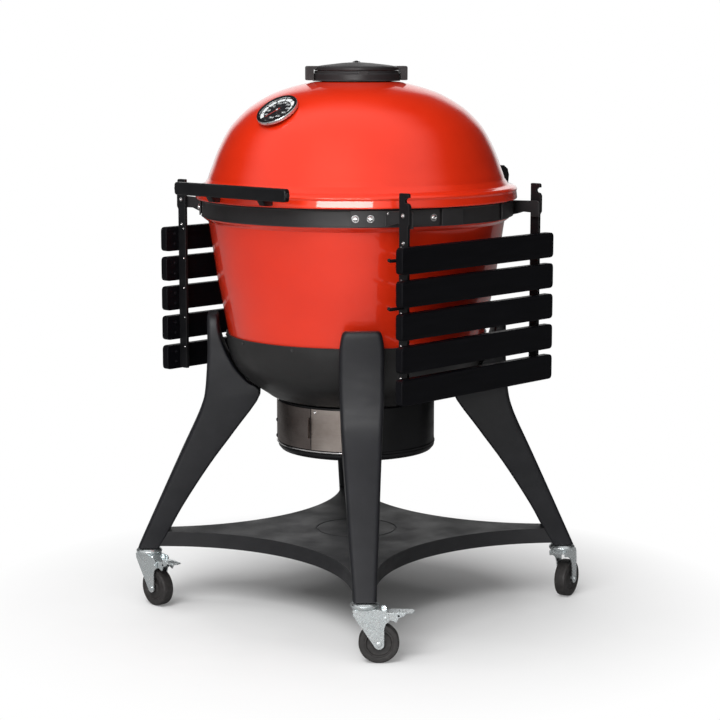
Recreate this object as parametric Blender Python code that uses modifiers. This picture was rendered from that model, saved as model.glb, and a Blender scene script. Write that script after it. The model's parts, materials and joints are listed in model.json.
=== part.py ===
"""Kamado ceramic grill on a wheeled stand, one solid for each piece.

Metres, +Z up, with the handle at the front, -Y. The model's origin is the centre of the bottom shelf's
top face, on the bowl's axis. Heights in this file are counted from the floor, and one empty on the
floor, which everything is parented to, brings them down to the origin. An azimuth is an angle about
the bowl's axis in degrees, 0 at the front and 90 at the right (+X).
"""

from math import asin, cos, pi, radians, sin, sqrt, tau

import bmesh
import bpy
from mathutils import Matrix, Vector

# ---------------------------------------------------------------- driving dimensions

GAP = 0.0003                # left between pieces that touch
ROUND_STEPS = 36            # facets of the bowl, the lid and their rings
MIDDLE_STEPS = 24           # facets of the vent, the thermometer and the basket
SMALL_STEPS = 16            # facets of wheels and caster races
PIN_STEPS = 10              # facets of pins and their bores

# Lid and bowl
PARTING_Z = 0.876           # underside of the lid's flange
FLANGE_R = 0.338
BOWL_RIM_Z = 0.872
BOWL_RIM_R = 0.323
BOWL_FLOOR_Z = 0.477
LEDGE_Z = 0.800             # step inside the bowl that carries the rack
VENT_HOLE_R = 0.072
BAND_R = 0.326
BAND_BOTTOM_Z = 0.838
BAND_TOP_Z = 0.874
DRUM_R = 0.167
DRUM_BOTTOM_Z = 0.354
DRUM_TOP_Z = 0.4505

# Lid hinge
HINGE_Y = 0.385
HINGE_Z = 0.890
HINGE_KNUCKLE_R = 0.014
HINGE_PIN_R = 0.005
HINGE_HALF_WIDTH = 0.090
HINGE_CENTRE_HALF_WIDTH = 0.0435

# Handle
HANDLE_HALF_LENGTH = 0.159
HANDLE_FRONT_Y = -0.372
HANDLE_DEPTH = 0.014
HANDLE_BOTTOM_Z = 0.892
HANDLE_TOP_Z = 0.918
POST_X = 0.073
POST_WIDTH = 0.016

# Vent cap and its neck
NECK_TOP_Z = 1.1345
NECK_R = 0.0905
CAP_R = 0.088
CAP_EDGE_Z = 1.1475
CAP_TOP_Z = 1.1570
CAP_WING_R = 0.106
CAP_WING_AZIMUTH = 141      # of one wing; the other is opposite
CAP_BOLT_R = 0.004

# Thermometer: centre of its front face, and the tilt of its face from straight up
GAUGE_CENTRE = Vector((0, -0.236, 1.066))
GAUGE_TILT = 36
GAUGE_R = 0.045
GAUGE_DIAL_R = 0.040
GAUGE_STEM_LENGTH = 0.075
NEEDLE_REST = -122          # from the dial's right, anticlockwise
NEEDLE_LENGTH = 0.028

# Legs and bottom shelf
LEG_AZIMUTHS = {"front_left": -45, "front_right": 45, "rear_left": -135, "rear_right": 135}
LEG_BOTTOM_Z = 0.124
SHELF_TOP_Z = 0.161
SHELF_DEPTH = 0.032
SHELF_SHEET = 0.003
SHELF_ARM_END_R = 0.4010
SHELF_ARC_R = 0.406         # the four hollow sides are arcs of this radius
SHELF_ARC_CENTRE_R = 0.606

# Casters, in the caster's own frame: X along its trail, Y along its axle
CASTER_R = 0.447
CASTER_ANGLES = {"front_left": -4, "front_right": 43, "rear_left": 60, "rear_right": 103}
BRAKED = ("front_left", "front_right")
CASTER_TRAIL = 0.028
WHEEL_R = 0.040
AXLE_R = 0.0045
FORK_TOP_Z = LEG_BOTTOM_Z - GAP
FORK_PLATE_INNER = 0.0165
FORK_PLATE_OUTER = 0.0190
STEM_R = 0.0055
STEM_TOP_Z = 0.143
PEDAL_PIVOT_X = 0.041
PEDAL_PIVOT_Z = 0.0925
PEDAL_PIN_R = 0.002

# Side shelves, hanging down
SLAT_COUNT = 5
SLAT_FRONT_Y = -0.2435
SLAT_REAR_Y = 0.2310
SLAT_HEIGHT = 0.052
SLAT_PITCH = 0.064
SLAT_TOP_Z = 0.807
SLAT_OUTER_X = 0.347
SLAT_INNER_X = 0.329
RAIL_INNER_X = 0.3067
RAIL_TOP_Z = 0.909
RAIL_INNER_Y = 0.2015
RAIL_OUTER_Y = 0.2085
PIVOT_X = 0.318
PIVOT_Z = 0.866
PIVOT_R = 0.004
PEG_LENGTH = 0.044
BRACKET_FIRST_AZIMUTH = 41
BRACKET_LAST_AZIMUTH = 70
BRACKET_ARM_INNER_Y = 0.1955
BRACKET_ARM_OUTER_Y = 0.1995

# Sliding door of the ash drum
DOOR_LEFT_AZIMUTH = -46
DOOR_RIGHT_AZIMUTH = 8.65
DOOR_SHEET = 0.0015
PULL_LENGTH = 0.009

# Inside
GRATE_R = 0.2855
GRATE_BAR_PITCH = 0.026
DEFLECTOR_R = 0.240


# ---------------------------------------------------------------- scene and materials

for old in list(bpy.data.objects):
    bpy.data.objects.remove(old)

PIECES = bpy.data.collections.new("kamado_grill")
CUTTERS = bpy.data.collections.new("cutters")
bpy.context.scene.collection.children.link(PIECES)
bpy.context.scene.collection.children.link(CUTTERS)


def finish(name, colour, roughness, metallic=0.0, alpha=1.0):
    material = bpy.data.materials.new(name)
    material.use_nodes = True
    shader = material.node_tree.nodes["Principled BSDF"]
    shader.inputs["Base Color"].default_value = (*colour, 1.0)
    shader.inputs["Roughness"].default_value = roughness
    shader.inputs["Metallic"].default_value = metallic
    shader.inputs["Alpha"].default_value = alpha
    return material


RED_ENAMEL = finish("red_enamel", (0.80, 0.07, 0.02), 0.2)
POWDER_COAT = finish("black_powder_coat", (0.02, 0.021, 0.025), 0.55)
BLACK_STEEL = finish("black_steel", (0.015, 0.015, 0.016), 0.5, 0.3)
DARK_ENAMEL = finish("dark_enamel", (0.03, 0.03, 0.03), 0.4)
SLAT_BLACK = finish("slat_black", (0.008, 0.008, 0.01), 0.45)
STAINLESS = finish("stainless", (0.45, 0.41, 0.38), 0.35, 1.0)
ZINC = finish("zinc", (0.62, 0.66, 0.68), 0.35, 0.9)
TREAD = finish("wheel_rubber", (0.04, 0.035, 0.033), 0.7)
FELT = finish("gasket_felt", (0.10, 0.10, 0.10), 0.95)
CAST_IRON = finish("cast_iron", (0.02, 0.02, 0.02), 0.7, 0.6)
PALE_CERAMIC = finish("pale_ceramic", (0.55, 0.50, 0.42), 0.8)
DIAL_BLACK = finish("dial_black", (0.01, 0.01, 0.012), 0.5)
NEEDLE_RED = finish("needle_red", (0.5, 0.02, 0.02), 0.4)
CLEAR_GLASS = finish("clear_glass", (0.9, 0.95, 0.95), 0.05, 0.0, 0.3)


# ---------------------------------------------------------------- building blocks


FLOOR = bpy.data.objects.new("floor_point", None)
FLOOR.location = (0, 0, -SHELF_TOP_Z)
PIECES.objects.link(FLOOR)


def add(name, mesh, material, location=(0, 0, 0), rotation=(0, 0, 0), parent=FLOOR):
    """A piece of the grill. Its place is counted from its parent's origin."""
    piece = bpy.data.objects.new(name, mesh)
    piece.data.materials.append(material)
    piece.location = location
    piece.rotation_euler = rotation
    piece.parent = parent
    PIECES.objects.link(piece)
    return piece


def as_tool(piece):
    """Moves an object to the cutters, where it only serves a Boolean."""
    PIECES.objects.unlink(piece)
    CUTTERS.objects.link(piece)
    piece.hide_render = True
    piece.display_type = "WIRE"
    return piece


def combine(piece, tool, operation):
    modifier = piece.modifiers.new(operation.lower(), "BOOLEAN")
    modifier.operation = operation
    modifier.solver = "EXACT"
    modifier.object = as_tool(tool)


def cut(piece, *tools):
    for tool in tools:
        combine(piece, tool, "DIFFERENCE")


def join(piece, *tools):
    for tool in tools:
        combine(piece, tool, "UNION")


def axis_point(name, location, angle=0.0, parent=FLOOR):
    """An empty on a joint's axis, which the pieces that move on that joint are parented to."""
    empty = bpy.data.objects.new(name, None)
    empty.location = location
    empty.rotation_euler = (0, 0, radians(angle))
    empty.parent = parent
    PIECES.objects.link(empty)
    return empty


def smooth(mesh):
    mesh.shade_smooth()
    mesh.set_sharp_from_angle(angle=radians(35))


def turned(name, profile, material, steps=ROUND_STEPS, ring=False, **place):
    """A profile of (radius, height) points, going down its outer side, turned about Z."""
    form = bmesh.new()
    points = [form.verts.new((r, 0, z)) for r, z in profile]
    for first, second in zip(points, points[1:]):
        form.edges.new((first, second))
    if ring:
        form.edges.new((points[-1], points[0]))
    mesh = bpy.data.meshes.new(name)
    form.to_mesh(mesh)
    form.free()
    piece = add(name, mesh, material, **place)
    screw = piece.modifiers.new("turn", "SCREW")
    screw.angle = tau
    screw.steps = steps
    screw.render_steps = steps
    screw.use_merge_vertices = True
    screw.merge_threshold = 0.00005
    screw.use_smooth_shade = True
    return piece


def block(name, low, high, material, bevel=0.0, **place):
    """A box between two corners."""
    low, high = Vector(low), Vector(high)
    size = high - low
    form = bmesh.new()
    stretch = Matrix.Translation((low + high) / 2) @ Matrix.Diagonal((*size, 1))
    bmesh.ops.create_cube(form, size=1, matrix=stretch)
    mesh = bpy.data.meshes.new(name)
    form.to_mesh(mesh)
    form.free()
    piece = add(name, mesh, material, **place)
    if bevel:
        edge = piece.modifiers.new("soft_edges", "BEVEL")
        edge.width = bevel
        edge.segments = 1
    return piece


def rod(name, start, end, radius, material, steps=PIN_STEPS, **place):
    """A round bar between two points."""
    start, end = Vector(start), Vector(end)
    along = end - start
    turn = along.to_track_quat("Z", "Y").to_matrix().to_4x4()
    form = bmesh.new()
    bmesh.ops.create_cone(
        form,
        cap_ends=True,
        segments=steps,
        radius1=radius,
        radius2=radius,
        depth=along.length,
        matrix=Matrix.Translation((start + end) / 2) @ turn,
    )
    mesh = bpy.data.meshes.new(name)
    form.to_mesh(mesh)
    form.free()
    smooth(mesh)
    return add(name, mesh, material, **place)


def outline_mesh(name, outlines, thickness):
    """The mesh of a flat curve with one or more closed outlines, filled and extruded about Z = 0."""
    curve = bpy.data.curves.new(name + "_outline", "CURVE")
    curve.dimensions = "2D"
    curve.fill_mode = "BOTH"
    curve.extrude = thickness / 2
    for outline in outlines:
        spline = curve.splines.new("POLY")
        spline.points.add(len(outline) - 1)
        for point, (x, y) in zip(spline.points, outline):
            point.co = (x, y, 0, 1)
        spline.use_cyclic_u = True
    drawing = bpy.data.objects.new(name + "_drawing", curve)
    CUTTERS.objects.link(drawing)
    bpy.context.view_layer.update()
    evaluated = drawing.evaluated_get(bpy.context.evaluated_depsgraph_get())
    mesh = bpy.data.meshes.new_from_object(evaluated)
    bpy.data.objects.remove(drawing)
    form = bmesh.new()
    form.from_mesh(mesh)
    bmesh.ops.remove_doubles(form, verts=form.verts, dist=0.00001)
    bmesh.ops.recalc_face_normals(form, faces=form.faces)
    form.to_mesh(mesh)
    form.free()
    mesh.name = name
    return mesh


def plate_xy(name, outlines, low, high, material, **place):
    """A plate drawn in plan, between two heights."""
    mesh = outline_mesh(name, outlines, high - low)
    mesh.transform(Matrix.Translation((0, 0, (low + high) / 2)))
    return add(name, mesh, material, **place)


def plate_xz(name, outline, low, high, material, **place):
    """A plate drawn as seen from the front, between two values of Y."""
    mesh = outline_mesh(name, [outline], high - low)
    mesh.transform(Matrix.Translation((0, (low + high) / 2, 0)) @ Matrix.Rotation(pi / 2, 4, "X"))
    return add(name, mesh, material, **place)


def plate_yz(name, outline, low, high, material, **place):
    """A plate drawn as seen from the right, between two values of X."""
    mesh = outline_mesh(name, [outline], high - low)
    turn = Matrix.Rotation(pi / 2, 4, "Z") @ Matrix.Rotation(pi / 2, 4, "X")
    mesh.transform(Matrix.Translation(((low + high) / 2, 0, 0)) @ turn)
    return add(name, mesh, material, **place)


def arc(centre, radius, start, end, steps):
    """Points on an arc, angles in degrees from the first axis."""
    angles = [radians(start + (end - start) * i / steps) for i in range(steps + 1)]
    return [(centre[0] + radius * cos(a), centre[1] + radius * sin(a)) for a in angles]


def around(azimuth, radius, z=0.0):
    """The point at this azimuth and radius."""
    return Vector((radius * sin(radians(azimuth)), -radius * cos(radians(azimuth)), z))


def curved_strip(inner, outer, first_azimuth, last_azimuth, steps):
    """Plan outline of a strip bent round the bowl's axis."""
    outside = arc((0, 0), outer, first_azimuth - 90, last_azimuth - 90, steps)
    inside = arc((0, 0), inner, last_azimuth - 90, first_azimuth - 90, steps)
    return outside + inside


# ---------------------------------------------------------------- joint axes

LID_AXIS = axis_point("lid_axis", (0, HINGE_Y, HINGE_Z))
GAUGE_TURN = Matrix.Rotation(radians(GAUGE_TILT), 4, "X")
IN_LID = {"location": (0, -HINGE_Y, -HINGE_Z), "parent": LID_AXIS}


# ---------------------------------------------------------------- lid

LID_OUTSIDE = [
    (VENT_HOLE_R, 1.1175),
    (0.092, 1.1165),
    (0.135, 1.1060),
    (0.179, 1.090),
    (0.221, 1.065),
    (0.249, 1.040),
    (0.269, 1.015),
    (0.289, 0.977),
    (0.308, 0.927),
    (0.3125, 0.915),
    (0.319, 0.905),
    (0.334, 0.900),
    (FLANGE_R, 0.896),
    (FLANGE_R, PARTING_Z),
]
LID_INSIDE = [
    (0.292, PARTING_Z),
    (0.288, 0.915),
    (0.264, 0.980),
    (0.220, 1.036),
    (0.155, 1.074),
    (VENT_HOLE_R, 1.098),
]


def lid_envelope(name):
    """The outside of the lid grown by the gap, for cutting what is bolted on it."""
    grown = [(0, 1.1175 + GAP)]
    grown += [(r + GAP, z + GAP) for r, z in LID_OUTSIDE[:-1]]
    grown += [(FLANGE_R + GAP, 0.870), (0, 0.870)]
    return turned(name, grown, RED_ENAMEL)


def build_lid():
    lid = turned("dome_lid", LID_OUTSIDE + LID_INSIDE, RED_ENAMEL, ring=True, **IN_LID)
    normal = GAUGE_TURN @ Vector((0, 0, 1))
    stem_hole = rod(
        "stem_hole",
        GAUGE_CENTRE - normal * 0.060,
        GAUGE_CENTRE + normal * 0.010,
        0.006,
        STAINLESS,
    )
    cut(lid, stem_hole)
    gasket = [
        (0.296, PARTING_Z - GAP),
        (0.322, PARTING_Z - GAP),
        (0.322, BOWL_RIM_Z + GAP),
        (0.296, BOWL_RIM_Z + GAP),
    ]
    turned("lid_gasket", gasket, FELT, ring=True, **IN_LID)


def build_handle():
    block(
        "handle_bar",
        (-HANDLE_HALF_LENGTH, HANDLE_FRONT_Y, HANDLE_BOTTOM_Z),
        (HANDLE_HALF_LENGTH, HANDLE_FRONT_Y + HANDLE_DEPTH, HANDLE_TOP_Z),
        BLACK_STEEL,
        bevel=0.003,
        **IN_LID,
    )
    back = HANDLE_FRONT_Y + HANDLE_DEPTH + GAP
    outline = [
        (back, 0.9165),
        (back, HANDLE_BOTTOM_Z),
        (-0.349, 0.880),
        (-0.320, 0.879),
        (-0.320, 0.908),
        (-0.345, 0.9165),
    ]
    for side, x in (("left", -POST_X), ("right", POST_X)):
        low, high = x - POST_WIDTH / 2, x + POST_WIDTH / 2
        post = plate_yz(side + "_handle_post", outline, low, high, BLACK_STEEL, **IN_LID)
        cut(post, lid_envelope(side + "_post_seat"))


def build_vent():
    neck_profile = [
        (0.0685, NECK_TOP_Z),
        (0.0875, NECK_TOP_Z),
        (NECK_R, 1.130),
        (0.0895, 1.118),
        (VENT_HOLE_R - GAP, 1.118),
        (VENT_HOLE_R - GAP, 1.096),
        (0.0685, 1.096),
    ]
    neck = turned("vent_neck", neck_profile, BLACK_STEEL, steps=MIDDLE_STEPS, ring=True, **IN_LID)
    bridge = block("neck_bridge", (-0.070, -0.007, 1.118), (0.070, 0.007, 1.126), BLACK_STEEL)
    boss = rod("neck_boss", (0, 0, 1.117), (0, 0, 1.130), 0.010, BLACK_STEEL)
    join(neck, bridge, boss)
    cut(neck, rod("boss_bore", (0, 0, 1.110), (0, 0, 1.140), CAP_BOLT_R + GAP, BLACK_STEEL))

    bolt_profile = [
        (0, 1.1590),
        (0.006, 1.1590),
        (0.008, 1.1580),
        (0.008, CAP_TOP_Z + GAP),
        (CAP_BOLT_R, CAP_TOP_Z + GAP),
        (CAP_BOLT_R, 1.112),
        (0, 1.112),
    ]
    turned("vent_cap_bolt", bolt_profile, BLACK_STEEL, steps=PIN_STEPS, **IN_LID)

    cap_profile = [
        (CAP_BOLT_R + 2 * GAP, CAP_TOP_Z),
        (CAP_R, CAP_EDGE_Z),
        (CAP_R, 1.140),
        (0.0855, 1.140),
        (0.0855, 1.145),
        (0.012, 1.150),
        (0.010, 1.130 + GAP),
        (CAP_BOLT_R + 2 * GAP, 1.130 + GAP),
    ]
    cap = turned("vent_cap", cap_profile, BLACK_STEEL, steps=MIDDLE_STEPS, ring=True, **IN_LID)
    for number, azimuth in enumerate((CAP_WING_AZIMUTH, CAP_WING_AZIMUTH + 180)):
        outline = [
            (0.080, 1.1425),
            (0.0935, 1.1425),
            (0.0935, 1.120),
            (CAP_WING_R, 1.120),
            (CAP_WING_R, 1.149),
            (0.080, 1.149),
        ]
        wing = plate_xz("cap_wing_%d" % number, outline, -0.016, 0.016, BLACK_STEEL)
        wing.rotation_euler = (0, 0, radians(azimuth - 90))
        join(cap, wing)


def build_thermometer():
    """The case, dial, needle and glass, drawn about Z and tilted onto the front of the dome."""
    centre = axis_point("gauge_axis", GAUGE_CENTRE - LID_AXIS.location, parent=LID_AXIS)
    centre.rotation_euler = (radians(GAUGE_TILT), 0, 0)
    case = [
        (0, -0.006),
        (GAUGE_DIAL_R + GAP, -0.006),
        (GAUGE_DIAL_R + GAP, -0.0005),
        (0.0425, 0),
        (GAUGE_R, -0.002),
        (GAUGE_R, -0.0085),
        (0.043, -0.0095),
        (0.0035, -0.0095),
        (0.0035, -GAUGE_STEM_LENGTH),
        (0, -GAUGE_STEM_LENGTH),
    ]
    turned("thermometer_case", case, BLACK_STEEL, steps=MIDDLE_STEPS, parent=centre)
    dial = disc(GAUGE_DIAL_R, -0.0057, -0.0047)
    turned("thermometer_dial", dial, DIAL_BLACK, steps=MIDDLE_STEPS, parent=centre)
    glass = disc(GAUGE_DIAL_R, -0.0017, -0.0007)
    turned("thermometer_glass", glass, CLEAR_GLASS, steps=MIDDLE_STEPS, parent=centre)
    needle_outline = [
        (-0.007, -0.0012),
        (NEEDLE_LENGTH, -0.0004),
        (NEEDLE_LENGTH, 0.0004),
        (-0.007, 0.0012),
    ]
    needle = plate_xy("thermometer_needle", [needle_outline], -0.0038, -0.0030, NEEDLE_RED)
    needle.parent = centre
    needle.rotation_euler = (0, 0, radians(NEEDLE_REST))
    hub = rod("needle_hub", (0, 0, -0.0042), (0, 0, -0.0026), 0.0028, NEEDLE_RED)
    hub.parent = centre
    join(needle, hub)


def disc(radius, low, high):
    return [(0, high), (radius, high), (radius, low), (0, low)]


# ---------------------------------------------------------------- lid hinge


def knuckle_outline(top):
    """Side view of a hinge ear: a strap along the lid that rounds down over the pin."""
    strap = [
        (0.285, top),
        (0.285, 0.9045),
        (0.362, 0.9045),
    ]
    return strap + arc((HINGE_Y, HINGE_Z), HINGE_KNUCKLE_R, 165, 370, 10) + [
        (0.401, 0.908),
        (0.396, 0.922),
        (0.383, top - 0.002),
    ]


def build_hinge():
    ears = []
    for side in (-1, 1):
        edges = sorted((side * (HINGE_CENTRE_HALF_WIDTH + 0.001), side * HINGE_HALF_WIDTH))
        ears.append((edges[0], edges[1]))
    outline = knuckle_outline(0.932)
    arm = plate_yz("lid_hinge_arm", outline, ears[0][0], ears[0][1], BLACK_STEEL, **IN_LID)
    middle_outline = [
        (0.286, 0.931),
        (0.286, 0.9052),
        (0.366, 0.9058),
        (0.385, 0.9062),
        (0.3985, 0.9015),
        (0.400, 0.909),
        (0.395, 0.9215),
        (0.382, 0.9292),
    ]
    reach = HINGE_CENTRE_HALF_WIDTH + 0.003
    middle = plate_yz("arm_middle", middle_outline, -reach, reach, BLACK_STEEL)
    join(arm, plate_yz("arm_right_ear", outline, ears[1][0], ears[1][1], BLACK_STEEL), middle)
    bore_ends = (-0.12, HINGE_Y, HINGE_Z), (0.12, HINGE_Y, HINGE_Z)
    cut(
        arm,
        lid_envelope("arm_seat"),
        rod("arm_bore", *bore_ends, HINGE_PIN_R + 2 * GAP, BLACK_STEEL),
    )

    base_outline = [
        (0.316, 0.872),
        (0.316, 0.842),
        (0.345, 0.842),
        (0.382, 0.868),
    ]
    base_outline += arc((HINGE_Y, HINGE_Z), HINGE_KNUCKLE_R, -70, 150, 10)
    base_outline += [(0.352, 0.872)]
    half = HINGE_CENTRE_HALF_WIDTH
    base = plate_yz("hinge_base", base_outline, -half, half, BLACK_STEEL)
    wide = block("base_plate", (-0.075, 0.300, 0.843), (0.075, 0.334, 0.871), BLACK_STEEL)
    join(base, wide)
    cut(
        base,
        rod("band_seat", (0, 0, 0.82), (0, 0, 0.90), BAND_R + GAP, BLACK_STEEL, steps=96),
        rod("base_bore", *bore_ends, HINGE_PIN_R + GAP, BLACK_STEEL),
    )

    pin_end = HINGE_HALF_WIDTH + GAP
    head = 0.008
    pin = [
        (0, pin_end + 0.005),
        (head, pin_end + 0.005),
        (head, pin_end),
        (HINGE_PIN_R, pin_end),
        (HINGE_PIN_R, -pin_end),
        (head, -pin_end),
        (head, -pin_end - 0.005),
        (0, -pin_end - 0.005),
    ]
    place = {"location": (0, HINGE_Y, HINGE_Z), "rotation": (0, pi / 2, 0)}
    turned("hinge_pin", pin, ZINC, steps=PIN_STEPS, **place)


# ---------------------------------------------------------------- bowl, cradle, band and drum

CRADLE_OUTSIDE = [
    (0.2765, 0.5915),
    (0.2735, 0.564),
    (0.262, 0.5295),
    (0.238, 0.498),
    (0.198, 0.4685),
    (0.167, 0.4535),
    (0.085, 0.4515),
]
CRADLE_SHEET = 0.0025


def build_bowl():
    outside = [
        (BOWL_RIM_R, BOWL_RIM_Z),
        (BOWL_RIM_R, 0.836),
        (0.312, 0.828),
        (0.302, 0.762),
        (0.283, 0.650),
        (0.2733, 0.594),
        (0.2660, 0.552),
        (0.2450, 0.5125),
        (0.2090, 0.4830),
        (0.165, 0.4595),
        (0.075, 0.4565),
    ]
    inside = [
        (0.075, BOWL_FLOOR_Z),
        (0.150, BOWL_FLOOR_Z),
        (0.215, 0.510),
        (0.245, 0.555),
        (0.255, 0.600),
        (0.272, LEDGE_Z),
        (0.2935, LEDGE_Z),
        (0.296, BOWL_RIM_Z),
    ]
    turned("ceramic_bowl", outside + inside, RED_ENAMEL, ring=True)

    cradle = turned("bowl_cradle", CRADLE_OUTSIDE, DARK_ENAMEL)
    wall = cradle.modifiers.new("sheet", "SOLIDIFY")
    wall.thickness = CRADLE_SHEET
    wall.offset = -1

    band = [
        (BAND_R, BAND_TOP_Z),
        (BAND_R, BAND_BOTTOM_Z),
        (BOWL_RIM_R + GAP, BAND_BOTTOM_Z),
        (BOWL_RIM_R + GAP, BAND_TOP_Z),
    ]
    turned("rim_band", band, BLACK_STEEL, ring=True)


def build_drum():
    drum_profile = [
        (DRUM_R, DRUM_TOP_Z),
        (DRUM_R, DRUM_BOTTOM_Z),
        (DRUM_R - 0.004, DRUM_BOTTOM_Z),
        (DRUM_R - 0.004, DRUM_TOP_Z - 0.003),
        (0.110, DRUM_TOP_Z - 0.003),
        (0.110, DRUM_TOP_Z),
    ]
    drum = turned("ash_drum", drum_profile, BLACK_STEEL, ring=True)
    window = block("drum_window", (0.130, -0.048, 0.372), (0.200, 0.048, 0.430), BLACK_STEEL)
    middle_azimuth = (DOOR_LEFT_AZIMUTH + DOOR_RIGHT_AZIMUTH) / 2
    window.rotation_euler = (0, 0, radians(middle_azimuth - 90))
    cut(drum, window)

    inner = DRUM_R + 2 * GAP
    outer = inner + DOOR_SHEET
    strip = curved_strip(inner, outer, DOOR_LEFT_AZIMUTH, DOOR_RIGHT_AZIMUTH, 10)
    door = plate_xy("vent_slide_door", [strip], 0.3575, 0.4465, STAINLESS)
    pull = block(
        "door_pull",
        (inner + 0.0005, -0.0025, 0.385),
        (outer + PULL_LENGTH, -0.0005, 0.428),
        STAINLESS,
    )
    pull.rotation_euler = (0, 0, radians(DOOR_RIGHT_AZIMUTH - 90))
    join(door, pull)

    pan_top = DRUM_BOTTOM_Z - 2 * GAP
    pan = [
        (0, 0.3415),
        (0.150, 0.3415),
        (0.1535, 0.345),
        (0.1545, 0.385),
        (0.1575, 0.385),
        (0.158, pan_top),
        (DRUM_R, pan_top),
        (0.1665, 0.349),
        (0.162, 0.3425),
        (0.153, 0.339),
        (0, 0.339),
    ]
    turned("ash_pan", pan, BLACK_STEEL)


# ---------------------------------------------------------------- what the bowl holds


def grate_slots(radius, pitch, bar, margin):
    """Slots between parallel bars, for the half of a round grate at X > 0."""
    slots = []
    left = margin
    while left + pitch - bar < radius - margin:
        right = left + pitch - bar
        top = sqrt((radius - margin) ** 2 - right**2)
        slots.append([(left, -top), (right, -top), (right, top), (left, top)])
        left += pitch
    return slots


def mirrored(outlines):
    return [[(-x, y) for x, y in outline] for outline in outlines]


def build_inside():
    split = 0.0015
    start = 90 - asin(split / GRATE_R) * 180 / pi
    half_disc = arc((0, 0), GRATE_R, -start, start, 24)
    outlines = [half_disc] + grate_slots(GRATE_R, GRATE_BAR_PITCH, 0.006, 0.009)
    low, high = LEDGE_Z + 0.0036, LEDGE_Z + 0.0096
    plate_xy("right_cooking_grate", outlines, low, high, CAST_IRON)
    plate_xy("left_cooking_grate", mirrored(outlines), low, high, CAST_IRON)

    top_ring = [
        (0.290, LEDGE_Z + 0.0033),
        (0.290, LEDGE_Z + GAP),
        (0.252, LEDGE_Z + GAP),
        (0.252, LEDGE_Z + 0.0033),
    ]
    rack = turned("grate_rack", top_ring, STAINLESS, ring=True)
    low_ring = [(0.2615, 0.738), (0.2615, 0.735), (0.205, 0.735), (0.205, 0.738)]
    join(rack, turned("rack_low_ring", low_ring, STAINLESS, steps=MIDDLE_STEPS, ring=True))
    for number in range(3):
        foot = around(120 * number + 20, 0.258, 0.7365)
        top = foot + Vector((0, 0, LEDGE_Z + 0.002 - foot.z))
        join(rack, rod("rack_rod_%d" % number, foot, top, 0.0025, STAINLESS, steps=6))
    turned("heat_deflector", disc(DEFLECTOR_R, 0.7383, 0.7503), PALE_CERAMIC)

    basket = [
        (0.148, 0.600),
        (0.148, BOWL_FLOOR_Z + GAP),
        (0.105, BOWL_FLOOR_Z + GAP),
        (0.105, BOWL_FLOOR_Z + 0.0023),
        (0.146, BOWL_FLOOR_Z + 0.0023),
        (0.146, 0.600),
    ]
    turned("charcoal_basket", basket, STAINLESS, steps=MIDDLE_STEPS, ring=True)
    rim = arc((0, 0), 0.100, 0, 345, 23)
    slots = grate_slots(0.100, 0.022, 0.008, 0.007)
    low = BOWL_FLOOR_Z + GAP
    plate_xy("fire_grate", [rim] + slots + mirrored(slots), low, low + 0.006, CAST_IRON)


# ---------------------------------------------------------------- stand


def leg_sections():
    """Each section of a leg: outer (radius, z), inner (radius, z) and half width."""
    return [
        ((0.3140, 0.6320), (0.2950, 0.6320), 0.0340),
        ((0.3160, 0.6240), (0.2930, 0.6240), 0.0400),
        ((0.3160, 0.5950), (0.2900, 0.5930), 0.0445),
        ((0.3157, 0.5550), (0.2775, 0.5560), 0.0450),
        ((0.3185, 0.5050), (0.2580, 0.5190), 0.0445),
        ((0.3220, 0.4680), (0.2320, 0.4890), 0.0430),
        ((0.3280, 0.4400), (0.2045, 0.4620), 0.0415),
        ((0.3420, 0.4035), (0.2590, 0.3830), 0.0390),
        ((0.3770, 0.3290), (0.3140, 0.3080), 0.0345),
        ((0.4235, 0.2270), (0.3720, 0.2180), 0.0290),
        ((0.4580, 0.1510), (0.4085, 0.1510), 0.0245),
        ((0.4700, LEG_BOTTOM_Z), (0.4250, LEG_BOTTOM_Z), 0.0235),
    ]


def build_leg(corner):
    """A loft through the leg's sections, with X away from the bowl's axis."""
    form = bmesh.new()
    loops = []
    for (outer_r, outer_z), (inner_r, inner_z), half in leg_sections():
        corners = [
            (outer_r, -half, outer_z),
            (outer_r, half, outer_z),
            (inner_r, half, inner_z),
            (inner_r, -half, inner_z),
        ]
        loops.append([form.verts.new(point) for point in corners])
    for upper, lower in zip(loops, loops[1:]):
        for i in range(4):
            j = (i + 1) % 4
            form.faces.new((upper[i], lower[i], lower[j], upper[j]))
    form.faces.new(loops[0])
    form.faces.new(loops[-1][::-1])
    long_edges = [
        edge
        for edge in form.edges
        if any(edge.verts[0] in loop for loop in loops)
        and not any(edge.verts[0] in loop and edge.verts[1] in loop for loop in loops)
    ]
    bmesh.ops.bevel(form, geom=long_edges, offset=0.004, segments=1, affect="EDGES")
    bmesh.ops.recalc_face_normals(form, faces=form.faces)
    name = corner + "_leg"
    mesh = bpy.data.meshes.new(name)
    form.to_mesh(mesh)
    form.free()
    azimuth = LEG_AZIMUTHS[corner]
    leg = add(name, mesh, POWDER_COAT, rotation=(0, 0, radians(azimuth - 90)))
    foot = around(azimuth, CASTER_R, LEG_BOTTOM_Z - 0.005)
    top = foot + Vector((0, 0, STEM_TOP_Z + 0.003 - foot.z))
    cut(leg, rod(name + "_socket", foot, top, STEM_R + 2 * GAP, ZINC))


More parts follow.
